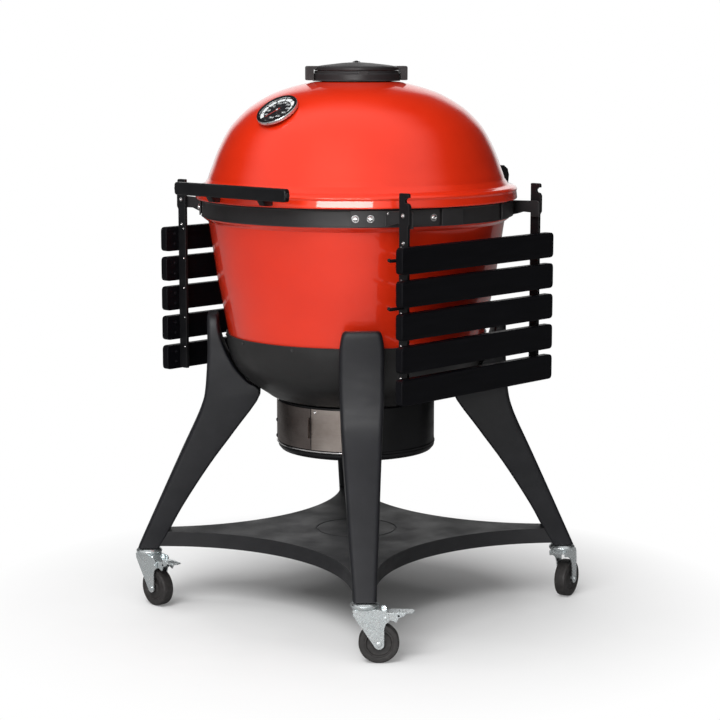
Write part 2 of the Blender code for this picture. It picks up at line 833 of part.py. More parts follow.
def star_outline(inset):
    """Plan of the bottom shelf: arms to the four legs, with hollow arcs between them."""
    reach = SHELF_ARC_CENTRE_R / sqrt(2)
    end = SHELF_ARM_END_R - inset
    radius = SHELF_ARC_R + inset
    side = reach - sqrt(radius**2 - (end - reach) ** 2)
    offset = asin((reach - side) / radius) * 180 / pi
    outline = []
    for quadrant in range(4):
        middle = 90 * quadrant
        centre = (SHELF_ARC_CENTRE_R * cos(radians(middle)), SHELF_ARC_CENTRE_R * sin(radians(middle)))
        swing = offset - 45
        outline += arc(centre, radius, middle + 180 + swing, middle + 180 - swing, 12)
    return outline


def build_bottom_shelf():
    low = SHELF_TOP_Z - SHELF_DEPTH
    shelf = plate_xy("bottom_shelf", [star_outline(0)], low, SHELF_TOP_Z, POWDER_COAT)
    inner_top = SHELF_TOP_Z - SHELF_SHEET
    hollow = plate_xy("shelf_hollow", [star_outline(SHELF_SHEET)], low - 0.01, inner_top, POWDER_COAT)
    cut(shelf, hollow)


# ---------------------------------------------------------------- casters


def fork_plate_outline(braked):
    """Side view of a fork plate, narrowing from the race to the axle."""
    tip = arc((CASTER_TRAIL, WHEEL_R), 0.010, 210, 360, 6)
    if braked:
        back = [(0.038, 0.084), (0.046, 0.087), (0.047, 0.098), (0.036, 0.1085)]
    else:
        back = [(0.038, 0.085), (0.034, 0.1085)]
    return [(-0.022, 0.1085)] + tip + back


def build_caster(corner):
    foot = around(LEG_AZIMUTHS[corner], CASTER_R)
    swivel = axis_point(corner + "_swivel", foot, CASTER_ANGLES[corner])
    name = corner + "_caster_fork"
    race = [
        (0, STEM_TOP_Z),
        (STEM_R, STEM_TOP_Z),
        (STEM_R, FORK_TOP_Z),
        (0.028, FORK_TOP_Z),
        (0.028, 0.112),
        (0.024, 0.108),
        (0, 0.108),
    ]
    braked = corner in BRAKED
    fork = turned(name, race, ZINC, steps=SMALL_STEPS, parent=swivel)
    outline = fork_plate_outline(braked)
    wide = FORK_PLATE_OUTER
    tools = [
        block(corner + "_crown", (-0.0215, -wide, 0.099), (0.030, wide, 0.110), ZINC),
        plate_xz(corner + "_plate_a", outline, FORK_PLATE_INNER, wide, ZINC),
        plate_xz(corner + "_plate_b", outline, -wide, -FORK_PLATE_INNER, ZINC),
        axle_rod(corner + "_axle", CASTER_TRAIL, WHEEL_R, AXLE_R, wide + 0.003),
    ]
    if braked:
        tools.append(
            axle_rod(corner + "_ear_pin", PEDAL_PIVOT_X, PEDAL_PIVOT_Z, PEDAL_PIN_R, wide - 0.001)
        )
    for tool in tools:
        tool.parent = swivel
    join(fork, *tools)
    build_wheel(corner, swivel)
    if braked:
        build_pedal(corner, swivel)


def axle_rod(name, x, z, radius, half_length, steps=PIN_STEPS):
    return rod(name, (x, -half_length, z), (x, half_length, z), radius, ZINC, steps=steps)


def build_wheel(corner, swivel):
    """A wheel turned about the axle, its facets' flats at the full radius and one flat on the floor."""
    tread = WHEEL_R / cos(pi / SMALL_STEPS)
    half = [
        (0.014, 0.010),
        (0.028, 0.013),
        (0.036, 0.013),
        (tread, 0.006),
    ]
    other_half = [(r, -z) for r, z in reversed(half)]
    bore = AXLE_R + 2 * GAP
    hub = [(bore, -0.010), (bore, 0.010)]
    half_facet = pi / SMALL_STEPS
    place = {"location": (CASTER_TRAIL, 0, WHEEL_R), "rotation": (pi / 2, -half_facet, 0)}
    turned(corner + "_wheel", half + other_half + hub, TREAD, SMALL_STEPS, True, parent=swivel, **place)


def build_pedal(corner, swivel):
    """A folded pedal on a pin between the fork's ears."""
    pivot = Vector((PEDAL_PIVOT_X, 0, PEDAL_PIVOT_Z))
    cheek = 0.0155
    pedal = block(
        corner + "_brake_pedal",
        Vector((0.0325, -cheek, 0.1005)) - pivot,
        Vector((0.097, cheek, 0.103)) - pivot,
        ZINC,
        location=pivot,
        parent=swivel,
    )
    for side in (-1, 1):
        low, high = sorted((side * (cheek - 0.0025), side * cheek))
        wall = block(
            "%s_cheek_%d" % (corner, side),
            (0.0345, low, 0.083),
            (0.075, high, 0.102),
            ZINC,
            parent=swivel,
        )
        join(pedal, wall)
    bore = axle_rod(corner + "_pedal_bore", PEDAL_PIVOT_X, PEDAL_PIVOT_Z, PEDAL_PIN_R + 0.0005, 0.02)
    bore.parent = swivel
    cut(pedal, bore)


# ---------------------------------------------------------------- side shelves


def rail_outline(side):
    """A rail seen from the front: a strip with a wider stretch at the pivot and a hook at the top."""
    bottom = SLAT_TOP_Z - (SLAT_COUNT - 1) * SLAT_PITCH - SLAT_HEIGHT + 0.002
    outer = SLAT_INNER_X - GAP
    points = [
        (RAIL_INNER_X, bottom),
        (outer, bottom),
        (outer, 0.846),
        (0.3325, 0.850),
        (0.3325, 0.884),
        (0.3295, 0.8885),
        (0.3225, 0.8905),
        (0.3205, 0.8955),
        (0.3245, 0.8995),
        (0.3305, 0.9005),
        (0.3305, 0.9065),
        (0.3280, RAIL_TOP_Z),
        (RAIL_INNER_X, RAIL_TOP_Z),
    ]
    return [(side * x, z) for x, z in points]


def build_side_shelf(word, side):
    hinge = axis_point(word + "_shelf_axis", (side * PIVOT_X, 0, PIVOT_Z))
    place = {"location": -hinge.location, "parent": hinge}
    x_low, x_high = sorted((side * SLAT_INNER_X, side * SLAT_OUTER_X))
    for number in range(SLAT_COUNT):
        top = SLAT_TOP_Z - number * SLAT_PITCH
        block(
            "%s_slat_%d" % (word, number + 1),
            (x_low, SLAT_FRONT_Y, top - SLAT_HEIGHT),
            (x_high, SLAT_REAR_Y, top),
            SLAT_BLACK,
            bevel=0.003,
            **place,
        )
    for end, sign in (("front", -1), ("rear", 1)):
        y_low, y_high = sorted((sign * RAIL_INNER_Y, sign * RAIL_OUTER_Y))
        name = "%s_%s_rail" % (word, end)
        rail = plate_xz(name, rail_outline(side), y_low, y_high, BLACK_STEEL, **place)
        low = (side * PIVOT_X, y_low - 0.01, PIVOT_Z)
        high = (side * PIVOT_X, y_high + 0.01, PIVOT_Z)
        cut(rail, rod(name + "_bore", low, high, PIVOT_R + 0.0005, BLACK_STEEL))
        if word == "right" and end == "front":
            add_pegs(rail, y_low)


def add_pegs(rail, y):
    """Two tool pegs that stand out from the front of a rail."""
    for number, z in enumerate((0.781, 0.687)):
        start = (PIVOT_X, y + 0.003, z)
        end = (PIVOT_X, y - PEG_LENGTH, z)
        join(rail, rod("peg_%d" % number, start, end, 0.0035, BLACK_STEEL, steps=8))


def build_bracket(word, end):
    """A strip along the band with an arm out to the shelf's pivot, and the pivot bolt."""
    side = 1 if word == "right" else -1
    sign = 1 if end == "rear" else -1
    first, last = BRACKET_FIRST_AZIMUTH, BRACKET_LAST_AZIMUTH
    if end == "rear":
        first, last = 180 - last, 180 - first
    if word == "left":
        first, last = -last, -first
    inner = BAND_R + GAP
    outer = inner + 0.004
    strip = curved_strip(inner, outer, first, last, 6)
    name = "%s_%s_shelf_bracket" % (end, word)
    bracket = plate_xy(name, [strip], 0.8405, 0.8725, BLACK_STEEL)
    start = sqrt(((inner + outer) / 2) ** 2 - ((BRACKET_ARM_INNER_Y + BRACKET_ARM_OUTER_Y) / 2) ** 2)
    arm = [
        (start, 0.8415),
        (start, 0.8715),
        (0.329, 0.8735),
        (0.333, 0.8695),
        (0.333, 0.8405),
        (0.3145, 0.840),
        (0.3135, 0.8485),
        (0.292, 0.849),
        (0.277, 0.8445),
    ]
    y_low, y_high = sorted((sign * BRACKET_ARM_INNER_Y, sign * BRACKET_ARM_OUTER_Y))
    outline = [(side * x, z) for x, z in arm]
    join(bracket, plate_xz(name + "_arm", outline, y_low, y_high, BLACK_STEEL))
    inside = sign * (BRACKET_ARM_INNER_Y + 0.001)
    beyond = sign * (RAIL_OUTER_Y + 2 * GAP)
    head_end = sign * (RAIL_OUTER_Y + 0.0035)
    shank_ends = (side * PIVOT_X, inside, PIVOT_Z), (side * PIVOT_X, beyond + sign * 0.001, PIVOT_Z)
    head_ends = (side * PIVOT_X, beyond, PIVOT_Z), (side * PIVOT_X, head_end, PIVOT_Z)
    join(
        bracket,
        rod(name + "_shank", *shank_ends, PIVOT_R, ZINC),
        rod(name + "_head", *head_ends, 0.0075, ZINC),
    )


# ---------------------------------------------------------------- the grill

build_bowl()
build_drum()
build_inside()
build_lid()
build_handle()
build_vent()
build_thermometer()
build_hinge()
for corner_name in LEG_AZIMUTHS:
    build_leg(corner_name)
    build_caster(corner_name)
build_bottom_shelf()
for shelf_name, shelf_side in (("left", -1), ("right", 1)):
    build_side_shelf(shelf_name, shelf_side)
    for bracket_end in ("front", "rear"):
        build_bracket(shelf_name, bracket_end)
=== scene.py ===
"""Looks of the kamado grill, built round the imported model.

Metres, +Z up, with the handle at the front, -Y. Profiles and outlines give heights above the floor,
and ABOVE_FLOOR takes them to the frame, whose origin is the top of the bottom shelf. An azimuth is an
angle about the bowl's axis in degrees, 0 at the front and 90 at the right (+X).
"""

import json
from math import asin, cos, pi, radians, sin, sqrt, tan, tau

import bmesh
import bpy
from mathutils import Matrix, Vector


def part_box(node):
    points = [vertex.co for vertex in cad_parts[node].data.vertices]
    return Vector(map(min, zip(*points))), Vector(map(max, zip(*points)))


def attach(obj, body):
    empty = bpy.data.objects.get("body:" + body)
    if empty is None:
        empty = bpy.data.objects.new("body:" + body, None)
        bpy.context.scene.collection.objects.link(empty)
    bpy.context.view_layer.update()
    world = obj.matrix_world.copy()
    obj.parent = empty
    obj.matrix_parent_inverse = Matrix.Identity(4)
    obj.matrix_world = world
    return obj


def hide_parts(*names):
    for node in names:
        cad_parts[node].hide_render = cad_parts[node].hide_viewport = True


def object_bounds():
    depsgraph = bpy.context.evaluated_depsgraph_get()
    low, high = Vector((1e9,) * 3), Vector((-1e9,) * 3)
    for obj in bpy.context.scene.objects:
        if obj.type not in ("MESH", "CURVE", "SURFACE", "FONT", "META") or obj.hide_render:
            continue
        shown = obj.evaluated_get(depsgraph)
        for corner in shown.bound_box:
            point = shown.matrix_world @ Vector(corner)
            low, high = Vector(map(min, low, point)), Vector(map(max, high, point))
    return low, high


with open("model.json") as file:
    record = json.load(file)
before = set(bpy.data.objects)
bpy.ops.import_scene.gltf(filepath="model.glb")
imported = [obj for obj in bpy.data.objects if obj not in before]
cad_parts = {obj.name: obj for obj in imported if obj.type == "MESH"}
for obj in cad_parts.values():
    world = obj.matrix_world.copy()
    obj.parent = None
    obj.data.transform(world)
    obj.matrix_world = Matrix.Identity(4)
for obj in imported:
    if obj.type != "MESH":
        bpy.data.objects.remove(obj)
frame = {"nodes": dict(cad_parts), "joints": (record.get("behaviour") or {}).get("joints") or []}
CAD_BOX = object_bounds()
NODES = frame["nodes"]
FLOOR_Z = CAD_BOX[0].z
ABOVE_FLOOR = Matrix.Translation((0, 0, FLOOR_Z))

ROUND_STEPS = 144
MIDDLE_STEPS = 72
CORNERS = {"front_left": -45, "front_right": 45, "rear_left": -135, "rear_right": 135}
SIDES = {"left": -1, "right": 1}
ENDS = {"front": -1, "rear": 1}


# ---------------------------------------------------------------- materials


class Nodes:
    """Short calls for the nodes of one tree."""

    def __init__(self, tree):
        self.tree = tree
        self.nodes = tree.nodes

    def give(self, node, socket, value):
        """Sets an input to a number or a colour, or links an output to it."""
        target = node.inputs[socket]
        if isinstance(value, bpy.types.NodeSocket):
            self.tree.links.new(value, target)
        elif isinstance(value, tuple) and target.type == "RGBA":
            target.default_value = (*value, 1.0)
        else:
            target.default_value = value

    def add(self, kind, *numbered, operation=None, **named):
        """A new node with some inputs given by number and some by name, _ for a space."""
        node = self.nodes.new("ShaderNode" + kind)
        if operation:
            node.operation = operation
        for socket, value in enumerate(numbered):
            self.give(node, socket, value)
        for socket, value in named.items():
            self.give(node, socket.replace("_", " "), value)
        return node


class Shader(Nodes):
    """One material. Its textures follow the metres of the frame."""

    def __init__(self, name, metallic=0.0):
        self.material = bpy.data.materials.new(name)
        self.material.use_nodes = True
        super().__init__(self.material.node_tree)
        self.surface = self.nodes["Principled BSDF"]
        self.where = self.add("TexCoord").outputs["Object"]
        self.give(self.surface, "Metallic", metallic)

    def stretched(self, x, y, z):
        return self.add("Mapping", Vector=self.where, Scale=Vector((x, y, z))).outputs[0]

    def noise(self, scale, detail=3.0, where=None):
        return self.add("TexNoise", Vector=where or self.where, Scale=scale, Detail=detail).outputs["Fac"]

    def spread(self, value, low, high, to_low, to_high):
        """The value, with what lies between low and high taken to another range."""
        settings = {"From_Min": low, "From_Max": high, "To_Min": to_low, "To_Max": to_high}
        return self.add("MapRange", Value=value, **settings).outputs[0]

    def sum(self, first, second):
        return self.add("Math", first, second).outputs[0]

    def blend(self, amount, first, second):
        node = self.add("Mix", amount)
        node.data_type = "RGBA"
        self.give(node, 6, first)
        self.give(node, 7, second)
        return node.outputs[2]

    def bump(self, height, depth):
        """A normal from a height of 0 to 1 and its depth in metres."""
        return self.add("Bump", Height=height, Distance=depth).outputs[0]

    def edges(self, radius):
        """0 on flat stretches and 1 on edges, the mask of a painted highlight that makes edges lighter."""
        bevel = self.add("Bevel", Radius=radius)
        bevel.samples = 4
        normal = self.add("NewGeometry").outputs["Normal"]
        dot = self.add("VectorMath", bevel.outputs[0], normal, operation="DOT_PRODUCT")
        return self.spread(dot.outputs["Value"], 0.985, 0.86, 0.0, 1.0)

    def set(self, **values):
        for name, value in values.items():
            self.give(self.surface, name.replace("_", " "), value)
        return self.material

    def mixed(self, amount, first, second):
        """Makes the material a mix of two shaders."""
        mix = self.add("MixShader", amount, first, second)
        self.give(self.nodes["Material Output"], "Surface", mix.outputs[0])
        return self.material


def red_glaze():
    """Deep red glaze under a clear gloss, with a slight orange peel and tiny darker specks."""
    look = Shader("red_glaze", metallic=0.3)
    tone = look.blend(look.noise(9, 4), (0.74, 0.024, 0.0035), (0.84, 0.034, 0.006))
    specks = look.spread(look.noise(760, 2), 0.68, 0.78, 0.0, 0.3)
    return look.set(
        Base_Color=look.blend(specks, tone, (0.45, 0.010, 0.003)),
        Roughness=look.spread(look.noise(55), 0.3, 0.7, 0.28, 0.36),
        Specular_IOR_Level=0.3,
        Coat_Weight=1.0,
        Coat_Roughness=look.spread(look.noise(23), 0.3, 0.7, 0.02, 0.05),
        Normal=look.bump(look.noise(260, 2), 0.00002),
        Coat_Normal=look.bump(look.sum(look.noise(95, 2), look.noise(14, 1)), 0.00002),
    )


def coat(name, dark, light, painted_edge_highlight, grain, depth, roughness, shine=0.3):
    """A dark coat on metal: fine grain, a cloudy sheen and a painted highlight that makes the edges a
    little lighter.
    """
    look = Shader(name)
    cloud = look.blend(look.noise(26, 5), dark, light)
    grains = look.noise(grain, 2)
    speck = tuple(1.7 * c for c in light)
    speckled = look.blend(look.spread(grains, 0.55, 0.75, 0.0, 0.5), cloud, speck)
    scuffs = look.noise(12, 6, look.stretched(1, 1, 3))
    return look.set(
        # Painted highlight: the edges are blended a little towards a lighter colour.
        Base_Color=look.blend(look.spread(look.edges(0.0015), 0, 1, 0, 0.6), speckled, painted_edge_highlight),
        Roughness=look.spread(scuffs, 0.35, 0.65, *roughness),
        Specular_IOR_Level=shine,
        Normal=look.bump(grains, depth),
    )


def slat_coat():
    """Near-black slats whose coat shows a long, faint grain, with a painted highlight on their edges."""
    look = Shader("slat_coat")
    grain = look.noise(1, 5, look.stretched(420, 9, 420))
    fine = look.noise(1500, 2)
    streaks = look.spread(grain, 0.35, 0.7, 0, 1)
    colour = look.blend(streaks, (0.0014, 0.0014, 0.0022), (0.0036, 0.0036, 0.0050))
    # Painted highlight: the edges are blended towards a lighter grey.
    painted_edge_light = look.spread(look.edges(0.0012), 0, 1, 0, 0.5)
    return look.set(
        Base_Color=look.blend(painted_edge_light, colour, (0.018, 0.018, 0.022)),
        Roughness=look.spread(grain, 0.3, 0.7, 0.38, 0.54),
        Specular_IOR_Level=0.10,
        Normal=look.bump(look.sum(grain, look.spread(fine, 0, 1, 0, 0.4)), 0.00005),
    )


def brushed(name, dark, light):
    """Brushed steel with fine lines round the bowl's axis and faint brown blotches."""
    look = Shader(name, metallic=1.0)
    lines = look.noise(1, 4, look.stretched(14, 14, 2600))
    blotches = look.noise(16, 5)
    tone = look.blend(look.spread(blotches, 0.35, 0.7, 0, 1), light, dark)
    tangent = look.add("Tangent")
    tangent.axis = "Z"
    return look.set(
        Base_Color=look.blend(look.spread(lines, 0.3, 0.7, 0, 0.35), tone, tuple(0.6 * c for c in dark)),
        Roughness=look.spread(lines, 0.3, 0.7, 0.26, 0.44),
        Anisotropic=0.5,
        Tangent=tangent.outputs[0],
        Normal=look.bump(lines, 0.00002),
    )


def zinc_plate():
    """Bright zinc with a fine spangle and cool and warm patches."""
    look = Shader("zinc_plate", metallic=0.9)
    spangle = look.add("TexVoronoi", Vector=look.where, Scale=420).outputs["Color"]
    tone = look.blend(look.noise(70, 3), (0.66, 0.73, 0.75), (0.82, 0.83, 0.82))
    return look.set(
        Base_Color=look.blend(look.spread(spangle, 0, 1, 0, 0.3), tone, (0.50, 0.56, 0.59)),
        Roughness=look.spread(look.sum(spangle, look.noise(240)), 0.3, 1.6, 0.18, 0.36),
        Normal=look.bump(look.noise(600, 3), 0.00003),
    )


def bright_screw():
    look = Shader("bright_screw", metallic=1.0)
    return look.set(
        Base_Color=look.blend(look.noise(300), (0.82, 0.80, 0.79), (0.66, 0.65, 0.66)),
        Roughness=look.spread(look.noise(900, 4), 0.3, 0.7, 0.10, 0.24),
        Normal=look.bump(look.noise(1400, 2), 0.00001),
    )


def wheel_rubber():
    look = Shader("wheel_tyre")
    dust = look.spread(look.noise(130, 6), 0.5, 0.75, 0, 0.6)
    return look.set(
        Base_Color=look.blend(dust, (0.018, 0.016, 0.0155), (0.050, 0.045, 0.043)),
        Roughness=look.spread(look.noise(90), 0.3, 0.7, 0.50, 0.72),
        Normal=look.bump(look.noise(1700, 3), 0.00008),
    )


def grainy(name, dark, light, grain, depth, roughness, metallic=0.0):
    """A rough surface: iron, unglazed clay, felt or print."""
    look = Shader(name, metallic=metallic)
    grains = look.noise(grain, 5)
    return look.set(
        Base_Color=look.blend(look.spread(grains, 0.35, 0.65, 0, 1), dark, light),
        Roughness=look.spread(look.noise(grain / 4, 4), 0.3, 0.7, *roughness),
        Normal=look.bump(grains, depth),
    )


def thin_glass():
    """Clear glass that mirrors lamps at its surface and lets the dial show through."""
    look = Shader("gauge_glass")
    clear = look.add("BsdfTransparent").outputs[0]
    gloss = look.add("BsdfGlossy", Roughness=look.spread(look.noise(220), 0.3, 0.7, 0.02, 0.06)).outputs[0]
    facing = look.add("Fresnel", IOR=1.45).outputs[0]
    behind = look.add("NewGeometry").outputs["Backfacing"]
    return look.mixed(look.blend(behind, facing, (0.0, 0.0, 0.0)), clear, gloss)


RED = red_glaze()
CRADLE_COAT = coat(
    "cradle_coat",
    dark=(0.012, 0.012, 0.012),
    light=(0.022, 0.021, 0.021),
    painted_edge_highlight=(0.07, 0.07, 0.07),
    grain=900,
    depth=0.00005,
    roughness=(0.34, 0.46),
)
POWDER = coat(
    "powder_coat",
    dark=(0.0045, 0.0047, 0.006),
    light=(0.011, 0.0112, 0.014),
    painted_edge_highlight=(0.045, 0.045, 0.050),
    grain=1150,
    depth=0.00022,
    roughness=(0.36, 0.50),
)
SHELF_COAT = coat(
    "shelf_coat",
    dark=(0.009, 0.009, 0.010),
    light=(0.017, 0.017, 0.019),
    painted_edge_highlight=(0.06, 0.06, 0.06),
    grain=1300,
    depth=0.00014,
    roughness=(0.45, 0.60),
)
BLACK = coat(
    "black_coat",
    dark=(0.0035, 0.0035, 0.004),
    light=(0.008, 0.008, 0.009),
    painted_edge_highlight=(0.045, 0.045, 0.045),
    grain=1200,
    depth=0.00005,
    roughness=(0.32, 0.48),
    shine=0.22,
)
BAND_COAT = coat(
    "band_coat",
    dark=(0.013, 0.0125, 0.013),
    light=(0.024, 0.022, 0.023),
    painted_edge_highlight=(0.09, 0.085, 0.085),
    grain=1100,
    depth=0.00005,
    roughness=(0.34, 0.48),
)
SLAT_COAT = slat_coat()
DOOR_STEEL = brushed("door_steel", (0.15, 0.125, 0.115), (0.25, 0.218, 0.205))
PANEL_STEEL = brushed("panel_steel", (0.32, 0.27, 0.24), (0.50, 0.44, 0.405))
ZINC = zinc_plate()
SCREW = bright_screw()
TYRE = wheel_rubber()
FELT = grainy("felt", (0.035, 0.035, 0.035), (0.11, 0.11, 0.11), 1500, 0.0004, (0.9, 1.0))
IRON = grainy("iron", (0.012, 0.012, 0.012), (0.035, 0.034, 0.033), 650, 0.00025, (0.45, 0.70), 0.4)
CLAY = grainy("clay", (0.46, 0.41, 0.33), (0.66, 0.61, 0.52), 700, 0.00020, (0.75, 0.95))
DIAL = grainy("dial_face", (0.006, 0.006, 0.007), (0.012, 0.012, 0.014), 1800, 0.00001, (0.35, 0.5))
PRINT = grainy("dial_print", (0.55, 0.58, 0.58), (0.72, 0.74, 0.74), 1500, 0.00001, (0.45, 0.6))
NEEDLE = grainy("needle_paint", (0.40, 0.03, 0.03), (0.55, 0.07, 0.06), 1500, 0.00001, (0.3, 0.4))
GLASS = thin_glass()


# ---------------------------------------------------------------- outlines


def flowing(points, steps):
    """A smooth line through points of any dimension, a Catmull-Rom curve."""
    padded = [points[0], *points, points[-1]]
    line = []
    for before, start, end, after in zip(padded, padded[1:], padded[2:], padded[3:]):
        for step in range(steps):
            t = step / steps
            line.append(
                tuple(
                    b + 0.5 * t * (c - a + t * (2 * a - 5 * b + 4 * c - d + t * (3 * (b - c) + d - a)))
                    for a, b, c, d in zip(before, start, end, after)
                )
            )
    return line + [tuple(points[-1])]


def rounded(points, radius, steps=4, ring=True):
    """The points with their corners rounded, by one radius or by one for each point."""
    radii = radius if isinstance(radius, (list, tuple)) else [radius] * len(points)
    line = []
    for i, corner in enumerate(points):
        at_end = not ring and i in (0, len(points) - 1)
        if at_end or not radii[i]:
            line.append(tuple(corner))
            continue
        here = Vector(corner)
        back = Vector(points[i - 1]) - here
        ahead = Vector(points[(i + 1) % len(points)]) - here
        half_angle = back.angle(ahead) / 2
        reach = min(radii[i] / tan(half_angle), 0.48 * back.length, 0.48 * ahead.length)
        start = here + back.normalized() * reach
        end = here + ahead.normalized() * reach
        for step in range(steps + 1):
            t = step / steps
            line.append(tuple((1 - t) ** 2 * start + 2 * t * (1 - t) * here + t**2 * end))
    return line


def arc(centre, radius, start, end, steps):
    """Points on an arc, angles in degrees from the first axis."""
    angles = [radians(start + (end - start) * i / steps) for i in range(steps + 1)]
    return [(centre[0] + radius * cos(a), centre[1] + radius * sin(a)) for a in angles]


def strip(inner, outer, first, last, steps):
    """Plan outline of a strip bent round the bowl's axis, between two azimuths."""
    outside = arc((0, 0), outer, first - 90, last - 90, steps)
    return outside + arc((0, 0), inner, last - 90, first - 90, steps)


def around(azimuth, radius, z=0.0):
    return Vector((radius * sin(radians(azimuth)), -radius * cos(radians(azimuth)), z))


def towards(azimuth):
    """The turn about the bowl's axis that takes +X to an azimuth."""
    return Matrix.Rotation(radians(azimuth - 90), 4, "Z")


def box_outline(low, high):
    return [(low[0], low[1]), (high[0], low[1]), (high[0], high[1]), (low[0], high[1])]


# ---------------------------------------------------------------- forms

AS_FRONT = Matrix(((1, 0, 0, 0), (0, 0, 1, 0), (0, 1, 0, 0), (0, 0, 0, 1)))
AS_SIDE = Matrix(((0, 0, 1, 0), (1, 0, 0, 0), (0, 1, 0, 0), (0, 0, 0, 1)))


def turned(profile, steps=ROUND_STEPS, ring=False):
    """A profile of (radius, height) points turned about Z."""
    form = bmesh.new()
    circles = []
    for r, z in profile:
        count = steps if r > 1e-6 else 1
        angles = [tau * i / count for i in range(count)]
        circles.append([form.verts.new((r * cos(a), r * sin(a), z)) for a in angles])
    pairs = list(zip(circles, circles[1:]))
    if ring:
        pairs.append((circles[-1], circles[0]))
    for upper, lower in pairs:
        for i in range(steps):
            j = (i + 1) % steps
            above = [upper[i % len(upper)], upper[j % len(upper)]]
            below = [lower[j % len(lower)], lower[i % len(lower)]]
            corners = list(dict.fromkeys(above + below))
            if len(corners) > 2:
                form.faces.new(corners)
    return form


def turned_strip(section, first, last, steps=60):
    """A closed (radius, height) section swept between two azimuths."""
    form = bmesh.new()
    loops = []
    for step in range(steps + 1):
        azimuth = first + (last - first) * step / steps
        loops.append([form.verts.new(around(azimuth, r, z)) for r, z in section])
    for here, there in zip(loops, loops[1:]):
        for i in range(len(section)):
            j = (i + 1) % len(section)
            form.faces.new((here[i], here[j], there[j], there[i]))
    form.faces.new(loops[0])
    form.faces.new(loops[-1])
    return form


def plate(outline, low, high):
    """An outline in plan, filled between two heights."""
    form = bmesh.new()
    lower = [form.verts.new((x, y, low)) for x, y in outline]
    upper = [form.verts.new((x, y, high)) for x, y in outline]
    form.faces.new(lower[::-1])
    form.faces.new(upper)
    for i in range(len(outline)):
        j = (i + 1) % len(outline)
        form.faces.new((lower[i], lower[j], upper[j], upper[i]))
    return form


def laid(form, matrix):
    bmesh.ops.transform(form, matrix=matrix, verts=form.verts)
    return form


def front_plate(outline, low, high):
    """A plate drawn from the front, in X and Z, between two values of Y."""
    return laid(plate(outline, low, high), AS_FRONT)


def side_plate(outline, low, high):
    """A plate drawn from the right, in Y and Z, between two values of X."""
    return laid(plate(outline, low, high), AS_SIDE)


def bar(start, end, radius, steps, edge=0.0):
    """A round bar between two points, whose end edges can be rounded."""
    start, end = Vector(start), Vector(end)
    along = end - start
    profile = [(0, along.length), (radius, along.length), (radius, 0), (0, 0)]
    if edge:
        profile = rounded(profile, [0, edge, edge, 0], 3, ring=False)
    turn = along.to_track_quat("Z", "Y").to_matrix().to_4x4()
    return laid(turned(profile, steps), Matrix.Translation(start) @ turn)


def mesh_of(form, name):
    """A form as a mesh, with its faces pointing out."""
    bmesh.ops.recalc_face_normals(form, faces=form.faces)
    mesh = bpy.data.meshes.new(name)
    form.to_mesh(mesh)
    form.free()
    return mesh


def together(*forms):
    """Several closed forms as one."""
    whole = bmesh.new()
    for form in forms:
        part = mesh_of(form, "part")
        whole.from_mesh(part)
        bpy.data.meshes.remove(part)
    return whole


def new_object(name, data):
    made = bpy.data.objects.new(name, data)
    bpy.context.scene.collection.objects.link(made)
    return made


def evaluated_mesh(made):
    """The mesh that an object shows, modifiers and all."""
    bpy.context.view_layer.update()
    evaluated = made.evaluated_get(bpy.context.evaluated_depsgraph_get())
    return bpy.data.meshes.new_from_object(evaluated)


def piece(name, form, material, body, slot, *stands_for, place=ABOVE_FLOOR, crease=40):
    """A finished piece that rides on a body and stands for CAD nodes."""
    made = new_object(name, mesh_of(laid(form, place), name))
    made.data.shade_smooth()
    made.data.set_sharp_from_angle(angle=radians(crease))
    made.data.materials.append(material)
    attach(made, body)
    if stands_for:
        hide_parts(*stands_for)
    return made


def soften(made, width, segments=3):
    """Rounds a piece's edges."""
    edge = made.modifiers.new("soft_edges", "BEVEL")
    edge.width = width
    edge.segments = segments
    edge.limit_method = "ANGLE"
    edge.angle_limit = radians(32)
    edge.harden_normals = True


def cut(made, form, place=ABOVE_FLOOR):
    """Takes a form out of a piece."""
    tool = new_object("cutter", mesh_of(laid(form, place), "cutter"))
    taken = made.modifiers.new("cut", "BOOLEAN")
    taken.operation = "DIFFERENCE"
    taken.solver = "EXACT"
    taken.object = tool
    made.data = evaluated_mesh(made)
    made.modifiers.clear()
    made.data.set_sharp_from_angle(angle=radians(40))
    bpy.data.objects.remove(tool)


def refine(node, material, width=0.0008, segments=2):
    """Gives a CAD node its material and softened edges, with its own shape left as it is."""
    made = NODES[node]
    made.data.materials.clear()
    made.data.materials.append(material)
    weld = made.modifiers.new("weld", "WELD")
    weld.merge_threshold = 0.00002
    flat = made.modifiers.new("flat_faces", "DECIMATE")
    flat.decimate_type = "DISSOLVE"
    flat.angle_limit = radians(1)
    soften(made, width, segments)
    made.data.shade_smooth()


# ---------------------------------------------------------------- lid

FLANGE_R = 0.338
PARTING_Z = 0.876


def lining(name, line, middle_z, body):
    """The bare ceramic inside a glazed shell, a skin just proud of the shell's inner line."""

    def scaled(k):
        return [(r * k, middle_z + (z - middle_z) * k) for r, z in line]

    form = turned(scaled(1.002) + scaled(0.999)[::-1], ring=True)
    piece(name, form, CLAY, body, "pale_ceramic")


